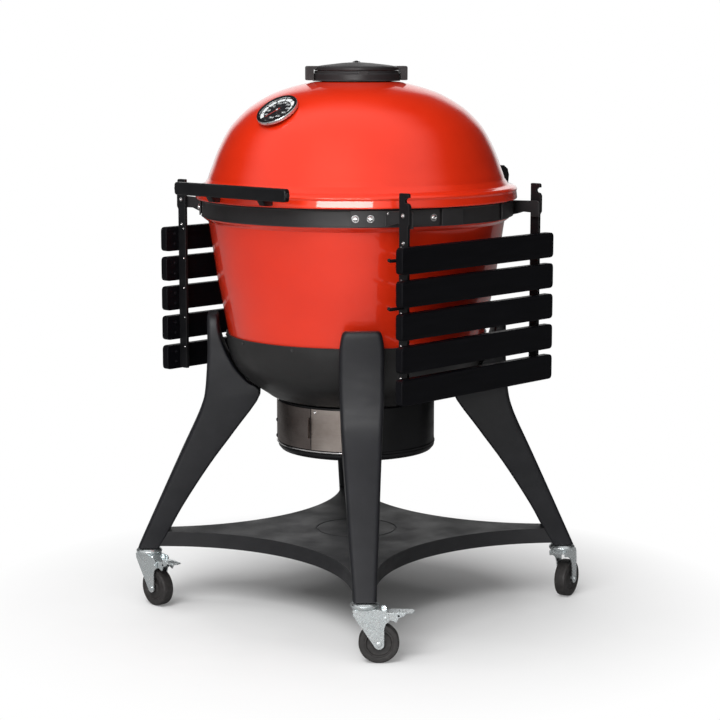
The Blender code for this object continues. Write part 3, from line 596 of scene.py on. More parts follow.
def build_lid():
    dome = [
        (0.092, 1.1165), (0.135, 1.1060), (0.179, 1.090), (0.221, 1.065), (0.249, 1.040),
        (0.269, 1.015), (0.289, 0.977), (0.302, 0.943), (0.3085, 0.9265)
    ]
    flange = [
        (0.3115, 0.9165), (0.3200, 0.9045), (0.3335, 0.9010), (0.3374, 0.8970), (0.3374, 0.8948),
        (0.3363, 0.8915), (FLANGE_R, 0.8790), (FLANGE_R, PARTING_Z)
    ]
    inside = [
        (0.292, PARTING_Z), (0.288, 0.915), (0.264, 0.980), (0.220, 1.036), (0.155, 1.074),
        (0.072, 1.098)
    ]
    flange_radii = [0.012, 0.007, 0.005, 0.003, 0.001, 0.002, 0.003, 0.002]
    edge = rounded([dome[-1], *flange, inside[0]], [0, *flange_radii, 0], 5, ring=False)
    profile = [(0.072, 1.1175), *flowing(dome, 6)[:-1], *edge, *flowing(inside, 4)[1:]]
    piece("dome_lid_glazed", turned(profile, ring=True), RED, "lid", "red_enamel", "dome_lid")
    lining("dome_lid_bare_inside", flowing(inside, 4), PARTING_Z, "lid")
    felt = rounded([(0.296, 0.8757), (0.322, 0.8757), (0.322, 0.8724), (0.296, 0.8724)], 0.0014, 3)
    piece("lid_gasket_felt", turned(felt, ring=True), FELT, "lid", "gasket_felt", "lid_gasket")


def build_handle():
    low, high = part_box("handle_bar")
    outline = rounded(box_outline((low.x, low.z), (high.x, high.z)), 0.007, 5)
    form = front_plate(outline, low.y, high.y)
    grip = piece("handle_grip", form, BLACK, "lid", "black_steel", "handle_bar", place=Matrix())
    soften(grip, 0.0035, 4)
    caps = []
    for x, way in ((low.x, -1), (high.x, 1)):
        middle = Vector((x, (low.y + high.y) / 2, (low.z + high.z) / 2))
        inset = Vector((way * 0.0012, 0, 0))
        caps.append(bar(middle - inset, middle + inset, 0.0052, 24, 0.0008))
    piece("handle_end_caps", together(*caps), BAND_COAT, "lid", "black_steel", place=Matrix())
    for side in SIDES:
        refine(side + "_handle_post", BLACK, 0.0012)


def build_vent():
    neck = [
        (0.0690, 1.1393), (0.0878, 1.1393), (0.0882, 1.1345), (0.0905, 1.1325), (0.0900, 1.1215),
        (0.0925, 1.1183), (0.0712, 1.1183), (0.0712, 1.0965), (0.0690, 1.0965)
    ]
    ring = turned(rounded(neck, 0.0018, 3), MIDDLE_STEPS, ring=True)
    bridge = plate(rounded(box_outline((-0.070, -0.007), (0.070, 0.007)), 0.003), 1.118, 1.126)
    boss = turned([(0.0045, 1.130), (0.010, 1.130), (0.010, 1.117), (0.0045, 1.117)], 24, ring=True)
    stop = plate(box_outline((0.0850, -0.009), (0.0897, 0.009)), 1.1320, 1.1390)
    form = together(ring, bridge, boss, laid(stop, towards(52)))
    made = piece("vent_neck_casting", form, BAND_COAT, "lid", "black_steel", "vent_neck")
    soften(made, 0.0008, 2)

    bolt = [
        (0, 1.1602), (0.0030, 1.1598), (0.0040, 1.1588), (0.0068, 1.1585), (0.0080, 1.1579),
        (0.0080, 1.1573), (0.004, 1.1573), (0.004, 1.112), (0, 1.112)
    ]
    piece("vent_cap_nut", turned(bolt, 24), BLACK, "lid", "black_steel", "vent_cap_bolt")

    cap = [
        (0.0046, 1.1570), (0.030, 1.1552), (0.066, 1.1512), (0.0845, 1.1484), (0.0880, 1.1460),
        (0.0880, 1.1400), (0.0858, 1.1400), (0.0855, 1.1450), (0.012, 1.1500), (0.010, 1.1303),
        (0.0046, 1.1303)
    ]
    forms = [turned(rounded(cap, 0.002, 3), MIDDLE_STEPS, ring=True)]
    outline = [
        (0.078, 1.1425), (0.0912, 1.1425), (0.0912, 1.1195), (0.1060, 1.1195), (0.1060, 1.1490),
        (0.078, 1.1490)
    ]
    for azimuth in (141, 321):
        wing = front_plate(rounded(outline, [0, 0.001, 0.002, 0.003, 0.004, 0]), -0.016, 0.016)
        forms.append(laid(wing, towards(azimuth)))
    form = together(*forms)
    made = piece("vent_cap_casting", form, BAND_COAT, "vent_cap", "black_steel", "vent_cap")
    soften(made, 0.0012)


def number_form(text, spot):
    """A number for the dial, as a form in the dial's plane."""
    curve = bpy.data.curves.new("number", "FONT")
    curve.body = text
    curve.size = 0.0078
    curve.align_x = "CENTER"
    curve.align_y = "CENTER"
    curve.extrude = 0.00012
    curve.resolution_u = 2
    text_object = new_object("number", curve)
    form = bmesh.new()
    form.from_mesh(evaluated_mesh(text_object))
    bmesh.ops.remove_doubles(form, verts=form.verts, dist=0.000001)
    bpy.data.objects.remove(text_object)
    return laid(form, Matrix.Translation(spot))


def build_thermometer():
    """Case, dial and glass, drawn about Z and tilted onto the front of the dome."""
    centre = Matrix.Translation((0, -0.236, 1.066 + FLOOR_Z)) @ Matrix.Rotation(radians(36), 4, "X")
    case = [
        (0, -0.0062), (0.0405, -0.0062), (0.0412, -0.0012), (0.0440, -0.0010), (0.0450, -0.0026),
        (0.0450, -0.0080), (0.0435, -0.0096), (0.0035, -0.0096), (0.0035, -0.0745), (0, -0.075)
    ]
    radii = [0, 0.0005, 0.0008, 0.001, 0.001, 0.0012, 0.0008, 0, 0, 0]
    form = turned(rounded(case, radii, 3, ring=False), MIDDLE_STEPS)
    piece("thermometer_body", form, ZINC, "lid", "black_steel", "thermometer_case", place=centre)
    bezel = rounded([(0.0398, -0.0026), (0.0398, 0.0004), (0.0436, 0.0004), (0.0447, -0.0026)], 0.0009, 3)
    form = turned(bezel, MIDDLE_STEPS, ring=True)
    piece("thermometer_bezel", form, BLACK, "lid", "black_steel", place=centre)
    disc = [(0, -0.0047), (0.0398, -0.0047), (0.0398, -0.0057), (0, -0.0057)]
    form = turned(disc, MIDDLE_STEPS)
    piece("dial_face_disc", form, DIAL, "lid", "dial_black", "thermometer_dial", place=centre)
    front = [(0, -0.0004), (0.020, -0.0006), (0.0394, -0.0011)]
    lens = front + [(r, z - 0.0006) for r, z in reversed(front)]
    form = turned(lens, MIDDLE_STEPS)
    piece("thermometer_lens", form, GLASS, "lid", "clear_glass", "thermometer_glass", place=centre)
    build_dial_print(centre)
    refine("thermometer_needle", NEEDLE, 0.0001)


def build_dial_print(centre):
    """A pale scale band in segments, ticks and numbers, clockwise from the lower left."""
    first, last, marks = 232, -8, 7
    low, high = -0.0047, -0.0045
    forms = []
    for number in range(marks):
        start = first + (last - first) * number / marks
        end = first + (last - first) * (number + 1) / marks
        outer = arc((0, 0), 0.0378, start - 2.2, end + 2.2, 8)
        inner = arc((0, 0), 0.0302, end + 2.2, start - 2.2, 8)
        forms.append(plate(outer + inner, low, high))
    for number in range(1, 4):
        angle = radians(last - number * 34 + 8)
        spot = Vector((0.035 * cos(angle), 0.035 * sin(angle), 0))
        tick = plate(box_outline((-0.0026, -0.0005), (0.0026, 0.0005)), low, high)
        forms.append(laid(tick, Matrix.Translation(spot) @ Matrix.Rotation(angle, 4, "Z")))
    for number in range(10):
        angle = radians(first - 14 - number * 33.5)
        spot = Vector((0.0245 * cos(angle), 0.0245 * sin(angle), high))
        forms.append(number_form(str(50 * (number + 1)), spot))
    hub = [(0, -0.0025), (0.0022, -0.0025), (0.0026, -0.0032), (0.0026, -0.0047), (0, -0.0047)]
    forms.append(turned(hub, 20))
    piece("dial_marks", together(*forms), PRINT, "lid", "dial_black", place=centre)


def build_hinge():
    refine("lid_hinge_arm", BLACK, 0.0020, 3)
    refine("hinge_base", BLACK, 0.0015, 3)
    refine("hinge_pin", ZINC)
    places = [Matrix.Translation((x, 0.332, 0.9325 + FLOOR_Z)) for x in (-0.078, -0.056, 0.056, 0.078)]
    piece("hinge_arm_screws", screws(places), SCREW, "lid", "zinc", place=Matrix())
    places = [facing_out(azimuth, 0.3345, 0.8565, 0.8) for azimuth in (168.5, 191.5)]
    piece("hinge_base_screws", screws(places), SCREW, "root", "zinc", place=Matrix())


# ---------------------------------------------------------------- fasteners


def screw_master():
    """A domed screw head with a cross recess, standing on Z = 0."""
    head = [
        (0, 0.0036), (0.0030, 0.0033), (0.0048, 0.0022), (0.0054, 0.0008), (0.0074, 0.0008),
        (0.0076, -0.0004), (0.0074, -0.0010), (0, -0.0010)
    ]
    master = new_object("screw_head", mesh_of(turned(head, 28), "screw_head"))
    for x, y in ((0.0034, 0.0006), (0.0006, 0.0034)):
        cut(master, plate(box_outline((-x, -y), (x, y)), 0.0012, 0.0060), place=Matrix())
    made = master.data
    bpy.data.objects.remove(master)
    return made


SCREW_HEAD = screw_master()


def screws(places):
    """Screw heads at these places, as one form."""
    form = bmesh.new()
    for place in places:
        start = len(form.verts)
        form.from_mesh(SCREW_HEAD)
        form.verts.ensure_lookup_table()
        bmesh.ops.transform(form, matrix=place, verts=form.verts[start:])
    return form


def fastener(spot, turn, size):
    """The place of a fastener that would stand on Z = 0 without its turn."""
    return Matrix.Translation(spot) @ turn @ Matrix.Scale(size, 4)


def facing_out(azimuth, radius, z, size=1.0):
    """The place of a fastener on a wall round the bowl's axis."""
    turn = towards(azimuth) @ Matrix.Rotation(pi / 2, 4, "Y")
    return fastener(around(azimuth, radius, z + FLOOR_Z), turn, size)


# ---------------------------------------------------------------- bowl, cradle, band and drum


def build_bowl():
    outside = [
        (0.312, 0.828), (0.3065, 0.790), (0.302, 0.762), (0.2935, 0.705), (0.283, 0.650),
        (0.2733, 0.594), (0.2660, 0.552), (0.2450, 0.5125), (0.2090, 0.4830), (0.165, 0.4595),
        (0.075, 0.4565)
    ]
    inside = [
        (0.075, 0.477), (0.150, 0.477), (0.215, 0.510), (0.245, 0.555), (0.255, 0.600),
        (0.272, 0.800), (0.2935, 0.800), (0.296, 0.872)
    ]
    inner = rounded(inside, [0, 0.02, 0.03, 0.03, 0.02, 0.002, 0.002, 0.003], 4, ring=False)
    rim = [inner[-1], (0.323, 0.872), (0.323, 0.836), outside[0]]
    profile = rounded(rim, [0, 0.003, 0.004, 0], 4, ring=False)[1:] + flowing(outside, 4)[1:] + inner
    piece("ceramic_bowl_glazed", turned(profile, ring=True), RED, "root", "red_enamel", "ceramic_bowl")
    lining("ceramic_bowl_bare_inside", inner, 0.872, "root")

    line = [
        (0.2765, 0.5915), (0.2735, 0.564), (0.262, 0.5295), (0.238, 0.498), (0.198, 0.4685),
        (0.167, 0.4535), (0.085, 0.4515)
    ]
    sheet = 0.0024
    outer = [(0.2767, 0.5922)] + flowing(line, 5)
    inner = [(r - sheet, z + sheet / 3) for r, z in outer[:0:-1]]
    form = turned(outer + inner, ring=True)
    piece("bowl_cradle_pan", form, CRADLE_COAT, "root", "dark_enamel", "bowl_cradle")

    face = [(0.3268, 0.8735), (0.3255, 0.8700), (0.3255, 0.8420), (0.3268, 0.8385)]
    band = face + [(0.3235, 0.8385), (0.3235, 0.8735)]
    form = turned(rounded(band, 0.001, 3), ring=True)
    piece("rim_band_hoop", form, BAND_COAT, "root", "black_steel", "rim_band")
    rivets = [facing_out(azimuth, 0.2766, 0.5845, 0.42) for azimuth in range(-165, 180, 30)]
    piece("cradle_rivets", screws(rivets), CRADLE_COAT, "root", "dark_enamel", place=Matrix())


def build_drum():
    drum = [
        (0.1665, 0.4505), (0.1665, 0.3600), (0.1680, 0.3580), (0.1680, 0.3542), (0.1630, 0.3542),
        (0.1630, 0.4475), (0.110, 0.4475), (0.110, 0.4505)
    ]
    form = turned(rounded(drum, 0.0012, 3), ring=True)
    shell = piece("ash_drum_shell", form, BLACK, "root", "black_steel", "ash_drum")
    door_first, door_last = -46, 8.65
    window = plate(box_outline((0.130, -0.048), (0.200, 0.048)), 0.372, 0.430)
    cut(shell, window, ABOVE_FLOOR @ towards((door_first + door_last) / 2))

    inner, outer = 0.1676, 0.1691
    low, high = 0.3605, 0.4465
    sheet = plate(strip(inner, outer, door_first, door_last, 40), low, high)
    pull = rounded(box_outline((inner + 0.0004, -0.0025), (0.1781, -0.0005)), 0.0006)
    fold = laid(plate(pull, 0.385, 0.428), towards(door_last))
    hem = plate(strip(outer - 0.0004, outer + 0.0009, -45.8, -44.2, 4), 0.362, 0.445)
    form = together(sheet, fold, hem)
    body = "vent_slide_door"
    soften(piece("vent_door_sheet", form, DOOR_STEEL, body, "stainless", "vent_slide_door"), 0.0004, 2)
    knobs = [facing_out(-44.8, 0.1697, z, 0.62) for z in (0.400, 0.366)]
    piece("door_edge_rivets", screws(knobs), BLACK, body, "black_steel", place=Matrix())

    panel = plate(strip(inner, outer, 9.3, 45, 30), low, high)
    lip = turned_strip(box_outline((0.1676, 0.3560), (0.1706, 0.3590)), -46, 45)
    soften(piece("drum_front_panel", panel, PANEL_STEEL, "root", "stainless"), 0.0004, 2)
    soften(piece("drum_front_lip", lip, SCREW, "root", "stainless"), 0.0010)
    places = [facing_out(azimuth, 0.1692, 0.4405, 0.45) for azimuth in (12.5, 42)]
    piece("drum_panel_screws", screws(places), SCREW, "root", "zinc", place=Matrix())

    pan = [
        (0, 0.3415), (0.150, 0.3415), (0.1535, 0.345), (0.1545, 0.385), (0.1575, 0.385),
        (0.158, 0.3533), (0.1672, 0.3533), (0.1666, 0.3480), (0.1610, 0.3412), (0.150, 0.3390),
        (0, 0.3390)
    ]
    radii = [0, 0.002, 0.002, 0.001, 0.001, 0.001, 0.0015, 0.004, 0.004, 0.004, 0]
    form = turned(rounded(pan, radii, 4, ring=False))
    piece("ash_pan_tray", form, BLACK, "ash_pan", "black_steel", "ash_pan")


# ---------------------------------------------------------------- what the bowl holds


def build_inside():
    for side in SIDES:
        refine(side + "_cooking_grate", IRON, 0.0010)
    refine("fire_grate", IRON, 0.0010)
    refine("grate_rack", PANEL_STEEL, 0.0006)
    stone = [(0, 0.7503), (0.240, 0.7503), (0.240, 0.7383), (0, 0.7383)]
    form = turned(rounded(stone, [0, 0.003, 0.003, 0], ring=False))
    piece("heat_deflector_stone", form, CLAY, "root", "pale_ceramic", "heat_deflector")
    build_basket()


def build_basket():
    """A basket of sheet steel with rows of slots in its wall."""
    low, high = 0.4773, 0.600
    columns, rows = 60, (low, 0.492, 0.522, 0.530, 0.560, 0.568, 0.590, high)
    form = bmesh.new()
    grid = []
    for z in rows:
        grid.append([form.verts.new(around(360 * i / columns, 0.1478, z)) for i in range(columns)])
    for row, (lower, upper) in enumerate(zip(grid, grid[1:])):
        for i in range(columns):
            open_slot = row in (1, 3, 5) and i % 3 != 0
            if not open_slot:
                j = (i + 1) % columns
                form.faces.new((lower[i], lower[j], upper[j], upper[i]))
    ring = [form.verts.new(around(360 * i / columns, 0.106, low)) for i in range(columns)]
    for i in range(columns):
        j = (i + 1) % columns
        form.faces.new((grid[0][i], ring[i], ring[j], grid[0][j]))
    basket = piece("charcoal_basket_sheet", form, DOOR_STEEL, "root", "stainless", "charcoal_basket")
    wall = basket.modifiers.new("sheet", "SOLIDIFY")
    wall.thickness = 0.0018
    wall.offset = -1


# ---------------------------------------------------------------- stand


def leg_form():
    """A loft with rounded long edges, with X away from the bowl's axis."""
    sections = [
        (0.3140, 0.6320, 0.2950, 0.6320, 0.0340),
        (0.3160, 0.6240, 0.2930, 0.6240, 0.0400),
        (0.3160, 0.5950, 0.2900, 0.5930, 0.0445),
        (0.3157, 0.5550, 0.2775, 0.5560, 0.0450),
        (0.3185, 0.5050, 0.2580, 0.5190, 0.0445),
        (0.3220, 0.4680, 0.2320, 0.4890, 0.0430),
        (0.3280, 0.4400, 0.2045, 0.4620, 0.0415),
        (0.3420, 0.4035, 0.2590, 0.3830, 0.0390),
        (0.3770, 0.3290, 0.3140, 0.3080, 0.0345),
        (0.4235, 0.2270, 0.3720, 0.2180, 0.0290),
        (0.4580, 0.1510, 0.4085, 0.1510, 0.0245),
        (0.4700, 0.1240, 0.4250, 0.1240, 0.0235),
    ]
    form = bmesh.new()
    loops = []
    for outer_r, outer_z, inner_r, inner_z, half in flowing(sections, 4):
        outer, inner = Vector((outer_r, 0, outer_z)), Vector((inner_r, 0, inner_z))
        depth = (inner - outer).length
        across = (inner - outer).normalized()
        outline = rounded(box_outline((0, -half), (depth, half)), [0.010, 0.006, 0.006, 0.010], 5)
        loops.append([form.verts.new(outer + across * u + Vector((0, v, 0))) for u, v in outline])
    for upper, lower in zip(loops, loops[1:]):
        for i in range(len(upper)):
            j = (i + 1) % len(upper)
            form.faces.new((upper[i], lower[i], lower[j], upper[j]))
    form.faces.new(loops[0])
    form.faces.new(loops[-1][::-1])
    return form


def build_legs():
    for corner, azimuth in CORNERS.items():
        name = corner + "_leg"
        place = ABOVE_FLOOR @ towards(azimuth)
        made = piece(name + "_casting", leg_form(), POWDER, "root", "powder_coat", name, place=place)
        soften(made, 0.0025)


def star_outline(inset):
    """Plan of the bottom shelf: arms to the four legs, with hollow arcs between them."""
    centre_r, arm_end, hollow_r = 0.606, 0.4240 - inset, 0.406 + inset
    reach = centre_r / sqrt(2)
    side = reach - sqrt(hollow_r**2 - (arm_end - reach) ** 2)
    swing = asin((reach - side) / hollow_r) * 180 / pi - 45
    outline = []
    for middle in range(0, 360, 90):
        centre = (centre_r * cos(radians(middle)), centre_r * sin(radians(middle)))
        outline += arc(centre, hollow_r, middle + 180 + swing, middle + 180 - swing, 36)
    return outline


def build_bottom_shelf():
    form = plate(star_outline(0), 0.129, 0.161)
    shelf = piece("bottom_shelf_pressing", form, SHELF_COAT, "root", "shelf_coat", "bottom_shelf")
    cut(shelf, plate(star_outline(0.003), 0.100, 0.158))
    groove = arc((0.085, 0.1618), 0.0022, 0, 324, 9)
    cut(shelf, turned(groove, 96, ring=True))
    soften(shelf, 0.0022)


# ---------------------------------------------------------------- casters

TRAIL = 0.028
WHEEL_R = 0.040


def joint(name):
    return next(j for j in frame["joints"] if j["name"] == name)


def caster_place(corner):
    """The caster's own axes on the floor: X along its trail and Y along its axle."""
    swivel = Vector(joint(corner + "_swivel")["pos_m"])
    axle = Vector(joint(corner + "_wheel_spin")["pos_m"])
    swivel.z = axle.z = FLOOR_Z
    trail = (axle - swivel).normalized()
    turn = Matrix.Identity(4)
    turn.col[0][:3] = trail
    turn.col[1][:3] = (-trail.y, trail.x, 0)
    return Matrix.Translation(swivel) @ turn


def fork_form(braked):
    dome = [
        (0, 0.1236), (0.016, 0.1236), (0.0175, 0.1222), (0.0240, 0.1212), (0.0280, 0.1165),
        (0.0272, 0.1120), (0.0240, 0.1085), (0, 0.1085)
    ]
    forms = [turned(rounded(dome, 0.002, 3, ring=False), 40)]
    crown = rounded(box_outline((-0.0225, -0.0188), (0.0330, 0.0188)), 0.008, 5)
    forms.append(plate(crown, 0.1030, 0.1102))
    tip = arc((TRAIL, WHEEL_R), 0.010, 200, 360, 12)
    if braked:
        front = []
        back = [(0.038, 0.072), (0.041, 0.0815), (0.047, 0.0855), (0.0475, 0.098), (0.040, 0.1085)]
    else:
        front = [(-0.006, 0.0955), (0.006, 0.0885), (0.0140, 0.0760), (0.0172, 0.0600)]
        back = [(0.038, 0.080), (0.0365, 0.1000), (0.032, 0.1085)]
    outline = [(-0.0235, 0.1085), (-0.0225, 0.0980), *front, *tip, *back]
    for low, high in ((0.0165, 0.0190), (-0.0190, -0.0165)):
        forms.append(front_plate(outline, low, high))
    for side in (-1, 1):
        start, end = (TRAIL, side * 0.0185, WHEEL_R), (TRAIL, side * 0.0215, WHEEL_R)
        forms.append(bar(start, end, 0.0052, 24, 0.0014))
        if braked:
            start, end = (0.041, side * 0.0185, 0.0925), (0.041, side * 0.0202, 0.0925)
            forms.append(bar(start, end, 0.0030, 20, 0.0008))
    forms.append(bar((TRAIL, -0.018, WHEEL_R), (TRAIL, 0.018, WHEEL_R), 0.0042, 20))
    return together(*forms)


def wheel_form():
    """A moulded wheel turned about Z: tread, side groove, web and hub boss."""
    half = [
        (0.0052, 0.0118), (0.0110, 0.0118), (0.0128, 0.0100), (0.0150, 0.0096), (0.0235, 0.0096),
        (0.0250, 0.0122), (0.0268, 0.0129), (0.0282, 0.0118), (0.0300, 0.0129), (0.0368, 0.0128),
        (0.0392, 0.0112), (0.0399, 0.0080)
    ]
    profile = half + [(WHEEL_R, 0)] + [(r, -z) for r, z in reversed(half)]
    return turned(rounded(profile, 0.0012, 2), 64, ring=True)


def pedal_form():
    """A tapered tread plate with folded cheeks and cross ribs."""
    edge = [(0.0325, 0.0155), (0.062, 0.0155), (0.095, 0.0115)]
    top = [(x, -y) for x, y in edge] + [(0.098, 0)] + edge[::-1]
    forms = [plate(rounded(top, 0.003, 3), 0.1005, 0.1030)]
    cheek = [
        (0.0345, 0.1020), (0.0345, 0.0880), (0.0440, 0.0835), (0.0500, 0.0880), (0.0570, 0.0850),
        (0.0625, 0.0830), (0.0660, 0.0920), (0.0760, 0.0960), (0.0820, 0.1020)
    ]
    for low, high in ((0.0130, 0.0154), (-0.0154, -0.0130)):
        forms.append(front_plate(rounded(cheek, 0.0012, 2), low, high))
    for x in (0.068, 0.074, 0.080, 0.086):
        rib = rounded(box_outline((x, -0.009), (x + 0.0022, 0.009)), 0.001, 2)
        forms.append(plate(rib, 0.1028, 0.1038))
    return together(*forms)


def build_caster(corner):
    place = caster_place(corner)
    braked = corner.startswith("front")
    name = corner + "_caster_fork"
    fork = piece(name + "_pressing", fork_form(braked), ZINC, corner + "_caster", "zinc", name, place=place)
    soften(fork, 0.0007, 2)
    wheel_place = place @ Matrix.Translation((TRAIL, 0, WHEEL_R)) @ Matrix.Rotation(pi / 2, 4, "X")
    name = corner + "_wheel"
    piece(name + "_tyre", wheel_form(), TYRE, name, "wheel_rubber", name, place=wheel_place, crease=55)
    if braked:
        name = corner + "_brake_pedal"
        pedal = piece(name + "_pressing", pedal_form(), ZINC, corner + "_brake", "zinc", name, place=place)
        soften(pedal, 0.0005, 2)
        studs = []
        for x, z in ((0.0455, 0.0948), (0.0660, 0.0965)):
            studs.append(bar((x, -0.0160, z), (x, 0.0160, z), 0.0022, 16, 0.0006))
        piece(name + "_studs", together(*studs), BLACK, corner + "_brake", "black_steel", place=place)


# ---------------------------------------------------------------- side shelves


def build_side_shelf(word, side):
    body = word + "_side_shelf"
    boxes = []
    for number in range(1, 6):
        node = "%s_slat_%d" % (word, number)
        low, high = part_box(node)
        boxes.append((low, high))
        outline = rounded(box_outline((low.y, low.z), (high.y, high.z)), 0.0095, 5)
        form = side_plate(outline, low.x, high.x)
        soften(piece(node + "_board", form, SLAT_COAT, body, "slat_black", node, place=Matrix()), 0.0022)
    inward = Matrix.Rotation(-side * pi / 2, 4, "Y")
    bolts, studs = [], []
    for end, sign in ENDS.items():
        build_rail(word, side, end, sign)
        outward = Matrix.Rotation(-sign * pi / 2, 4, "X")
        for low, high in boxes:
            for z in (low.z + 0.015, high.z - 0.015):
                bolts.append(fastener((side * 0.3290, sign * 0.2190, z), inward, 0.5))
            studs.append(fastener((side * 0.3125, sign * 0.2083, high.z - 0.0035), outward, 0.34))
        studs.append(fastener((side * 0.318, sign * 0.2085, 0.8125 + FLOOR_Z), outward, 0.5))
    piece(word + "_slat_bolts", screws(bolts), SLAT_COAT, body, "slat_black", place=Matrix())
    piece(word + "_rail_studs", screws(studs), SCREW, body, "zinc", place=Matrix())


def build_rail(word, side, end, sign):
    """A strip with a hook at its top. The front right one carries two tool pegs with raised tips."""
    points = [
        (0.3067, 0.5010), (0.3287, 0.5010), (0.3287, 0.8450), (0.3325, 0.8505), (0.3325, 0.8840),
        (0.3292, 0.8890), (0.3222, 0.8905), (0.3202, 0.8955), (0.3245, 0.8998), (0.3305, 0.9005),
        (0.3305, 0.9065), (0.3278, 0.9090), (0.3067, 0.9090)
    ]
    radii = [0.002, 0.002, 0.004, 0.004, 0.003, 0.003, 0.003, 0.003, 0.002, 0.001, 0.002, 0.002, 0.002]
    outline = rounded([(side * x, z) for x, z in points], radii)
    low, high = sorted((sign * 0.2015, sign * 0.2085))
    forms = [front_plate(outline, low, high)]
    node = "%s_%s_rail" % (word, end)
    if word == "right" and end == "front":
        for z in (0.781, 0.687):
            tip = (0.318, low - 0.0430, z + 0.0030)
            forms.append(bar((0.318, low + 0.003, z), (0.318, low - 0.0390, z), 0.0034, 20, 0.0008))
            forms.append(bar((0.318, low - 0.0370, z), tip, 0.0034, 20, 0.0012))
    rail = piece(node + "_strip", together(*forms), BLACK, word + "_side_shelf", "black_steel", node)
    soften(rail, 0.0009, 2)


def build_bracket(word, side, end, sign):
    """A strap on the band with an arm out to the shelf's pivot, and in front a clip beyond it."""

    def here(*azimuths):
        """Azimuths given for the front right corner, carried to this one."""
        return [side * (azimuth if end == "front" else 180 - azimuth) for azimuth in azimuths]

    forms = [plate(strip(0.3272, 0.3305, *sorted(here(41, 72.6)), 24), 0.8405, 0.8725)]
    if end == "front":
        forms.append(plate(strip(0.3266, 0.3325, *sorted(here(73.6, 82.4)), 12), 0.8390, 0.8735))
    arm = [
        (0.2635, 0.8415), (0.2635, 0.8715), (0.3290, 0.8735), (0.3330, 0.8695), (0.3330, 0.8405),
        (0.3145, 0.8400), (0.3135, 0.8485), (0.2920, 0.8490), (0.2770, 0.8445)
    ]
    low, high = sorted((sign * 0.1955, sign * 0.1995))
    forms.append(front_plate(rounded([(side * x, z) for x, z in arm], 0.002, 3), low, high))
    shank = (side * 0.318, sign * 0.1965, 0.866), (side * 0.318, sign * 0.2100, 0.866)
    forms.append(bar(*shank, 0.0040, 20))
    node = "%s_%s_shelf_bracket" % (end, word)
    bracket = piece(node + "_strap", together(*forms), BAND_COAT, "root", "black_steel", node)
    soften(bracket, 0.0008, 2)
    azimuths = here(42.6, 47.7, 70.3) if end == "front" else here(42.6, 47.7)
    places = [facing_out(azimuth, 0.3308, 0.8565) for azimuth in azimuths]
    turn = Matrix.Rotation(-sign * pi / 2, 4, "X")
    places.append(fastener((side * 0.2690, sign * 0.1993, 0.8670 + FLOOR_Z), turn, 0.36))
    places.append(fastener((side * 0.318, sign * 0.2098, 0.866 + FLOOR_Z), turn, 0.62))
    piece(node + "_screws", screws(places), SCREW, "root", "zinc", place=Matrix())


# ---------------------------------------------------------------- studio


CAMERA_PLACE = Vector((2.878, -3.092, 1.182 + FLOOR_Z))
CAMERA_TILT = 81.24
CAMERA_HEADING = 42.95
# azimuth, elevation, cosines where a bright part of the world starts and is full, and its strength
WORLD_PATCHES = [(26, 40, 0.14, 0.56, 0.64), (223, 5, 0.87, 0.97, 1.0)]
WORLD_DIM = 0.015


def floor_paint():
    """A pale floor, dim in mirrored light, that to the camera fades into the white background."""
    look = Shader("floor_paint")
    rays = look.add("LightPath").outputs
    tone = look.blend(look.noise(7, 4), (0.70, 0.70, 0.70), (0.75, 0.75, 0.75))
    tone = look.blend(rays["Is Glossy Ray"], tone, (0.32, 0.32, 0.32))
    look.set(Base_Color=tone, Roughness=0.7, Specular_IOR_Level=0.1)
    look.set(Normal=look.bump(look.noise(60), 0.0001))
    away = look.add("VectorMath", look.where, operation="LENGTH").outputs["Value"]
    fade = look.spread(away, 0.34, 0.86, 0.0, 1.0)
    seen = look.add("Math", fade, rays["Is Camera Ray"], operation="MULTIPLY").outputs[0]
    return look.mixed(seen, look.surface.outputs[0], look.add("Emission").outputs[0])


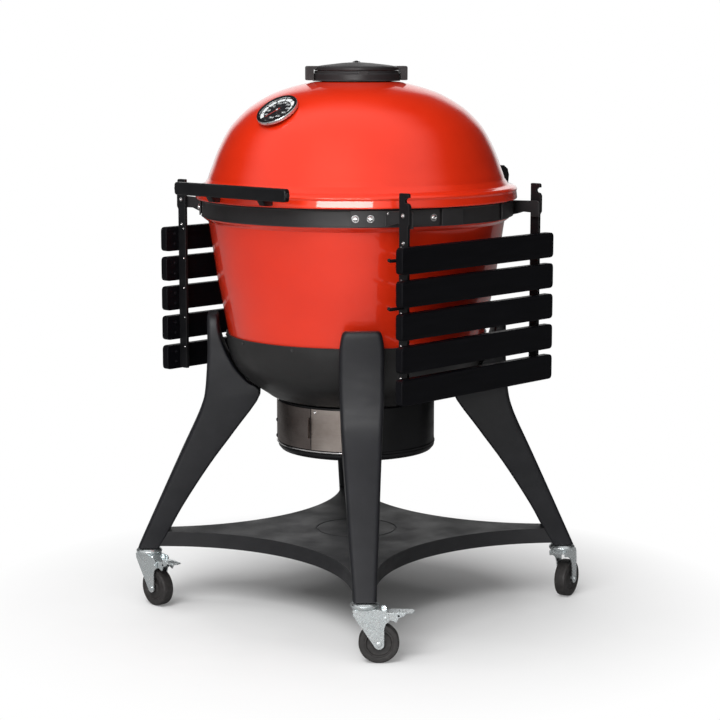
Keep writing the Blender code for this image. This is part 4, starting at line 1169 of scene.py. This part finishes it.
def studio_world():
    """Bright in front and overhead and behind the object, dark at the sides, and white to the camera."""
    world = bpy.data.worlds.new("studio")
    bpy.context.scene.world = world
    world.use_nodes = True
    sky = Nodes(world.node_tree)
    direction = sky.add("TexCoord").outputs["Generated"]
    brightness = sky.add("LightPath").outputs["Is Camera Ray"]
    for azimuth, elevation, start, full, strength in WORLD_PATCHES:
        middle = around(azimuth, cos(radians(elevation)), sin(radians(elevation)))
        near = sky.add("VectorMath", direction, middle, operation="DOT_PRODUCT").outputs["Value"]
        patch = sky.add("MapRange", near, start, full, WORLD_DIM, strength)
        patch.interpolation_type = "SMOOTHSTEP"
        brightness = sky.add("Math", brightness, patch.outputs[0], operation="MAXIMUM").outputs[0]
    sky.give(sky.nodes["Background"], "Strength", brightness)
    sky.give(sky.nodes["Background"], "Color", (1.0, 1.0, 1.0))


def build_studio():
    """A pale floor, soft boxes and the camera."""
    bpy.ops.mesh.primitive_plane_add(size=80, location=(0, 0, FLOOR_Z - 0.0002))
    floor = bpy.context.object
    floor.name = "studio_floor"
    floor.data.materials.append(floor_paint())
    studio_world()
    soft_box("key", around(22, 3.3, 3.4), 2.4, 2.4, 178, mirrored=False)
    soft_box("overhead", (-0.6, -0.3, 3.8), 2.6, 2.6, 45, mirrored=False)
    soft_box("low_card", around(35, 6.4, 1.5), 4.4, 1.2, 240, mirrored=True)

    lens = bpy.data.cameras.new("camera")
    lens.lens = 100.1
    lens.sensor_width = 36
    lens.shift_x = 0.0052
    lens.shift_y = -0.0022
    camera = new_object("camera", lens)
    camera.location = CAMERA_PLACE
    camera.rotation_euler = (radians(CAMERA_TILT), 0, radians(CAMERA_HEADING))
    bpy.context.scene.camera = camera
    bpy.context.scene.view_settings.view_transform = "Standard"


def soft_box(name, location, width, height, power, mirrored):
    """A lamp aimed at the bowl, which either shows in mirrored light or only lights what is matt."""
    light = bpy.data.lights.new(name, "AREA")
    light.shape = "RECTANGLE"
    light.size = width
    light.size_y = height
    light.energy = power
    lamp = new_object(name, light)
    lamp.location = location
    lamp.rotation_euler = (Vector((0, 0, 0.6)) - Vector(location)).to_track_quat("-Z", "Y").to_euler()
    lamp.visible_glossy = mirrored
    lamp.visible_diffuse = not mirrored


# ---------------------------------------------------------------- the grill

build_bowl()
build_drum()
build_inside()
build_lid()
build_handle()
build_vent()
build_thermometer()
build_hinge()
build_legs()
build_bottom_shelf()
for corner_name in CORNERS:
    build_caster(corner_name)
for shelf_name, shelf_side in SIDES.items():
    build_side_shelf(shelf_name, shelf_side)
    for bracket_end, bracket_sign in ENDS.items():
        build_bracket(shelf_name, shelf_side, bracket_end, bracket_sign)
build_studio()
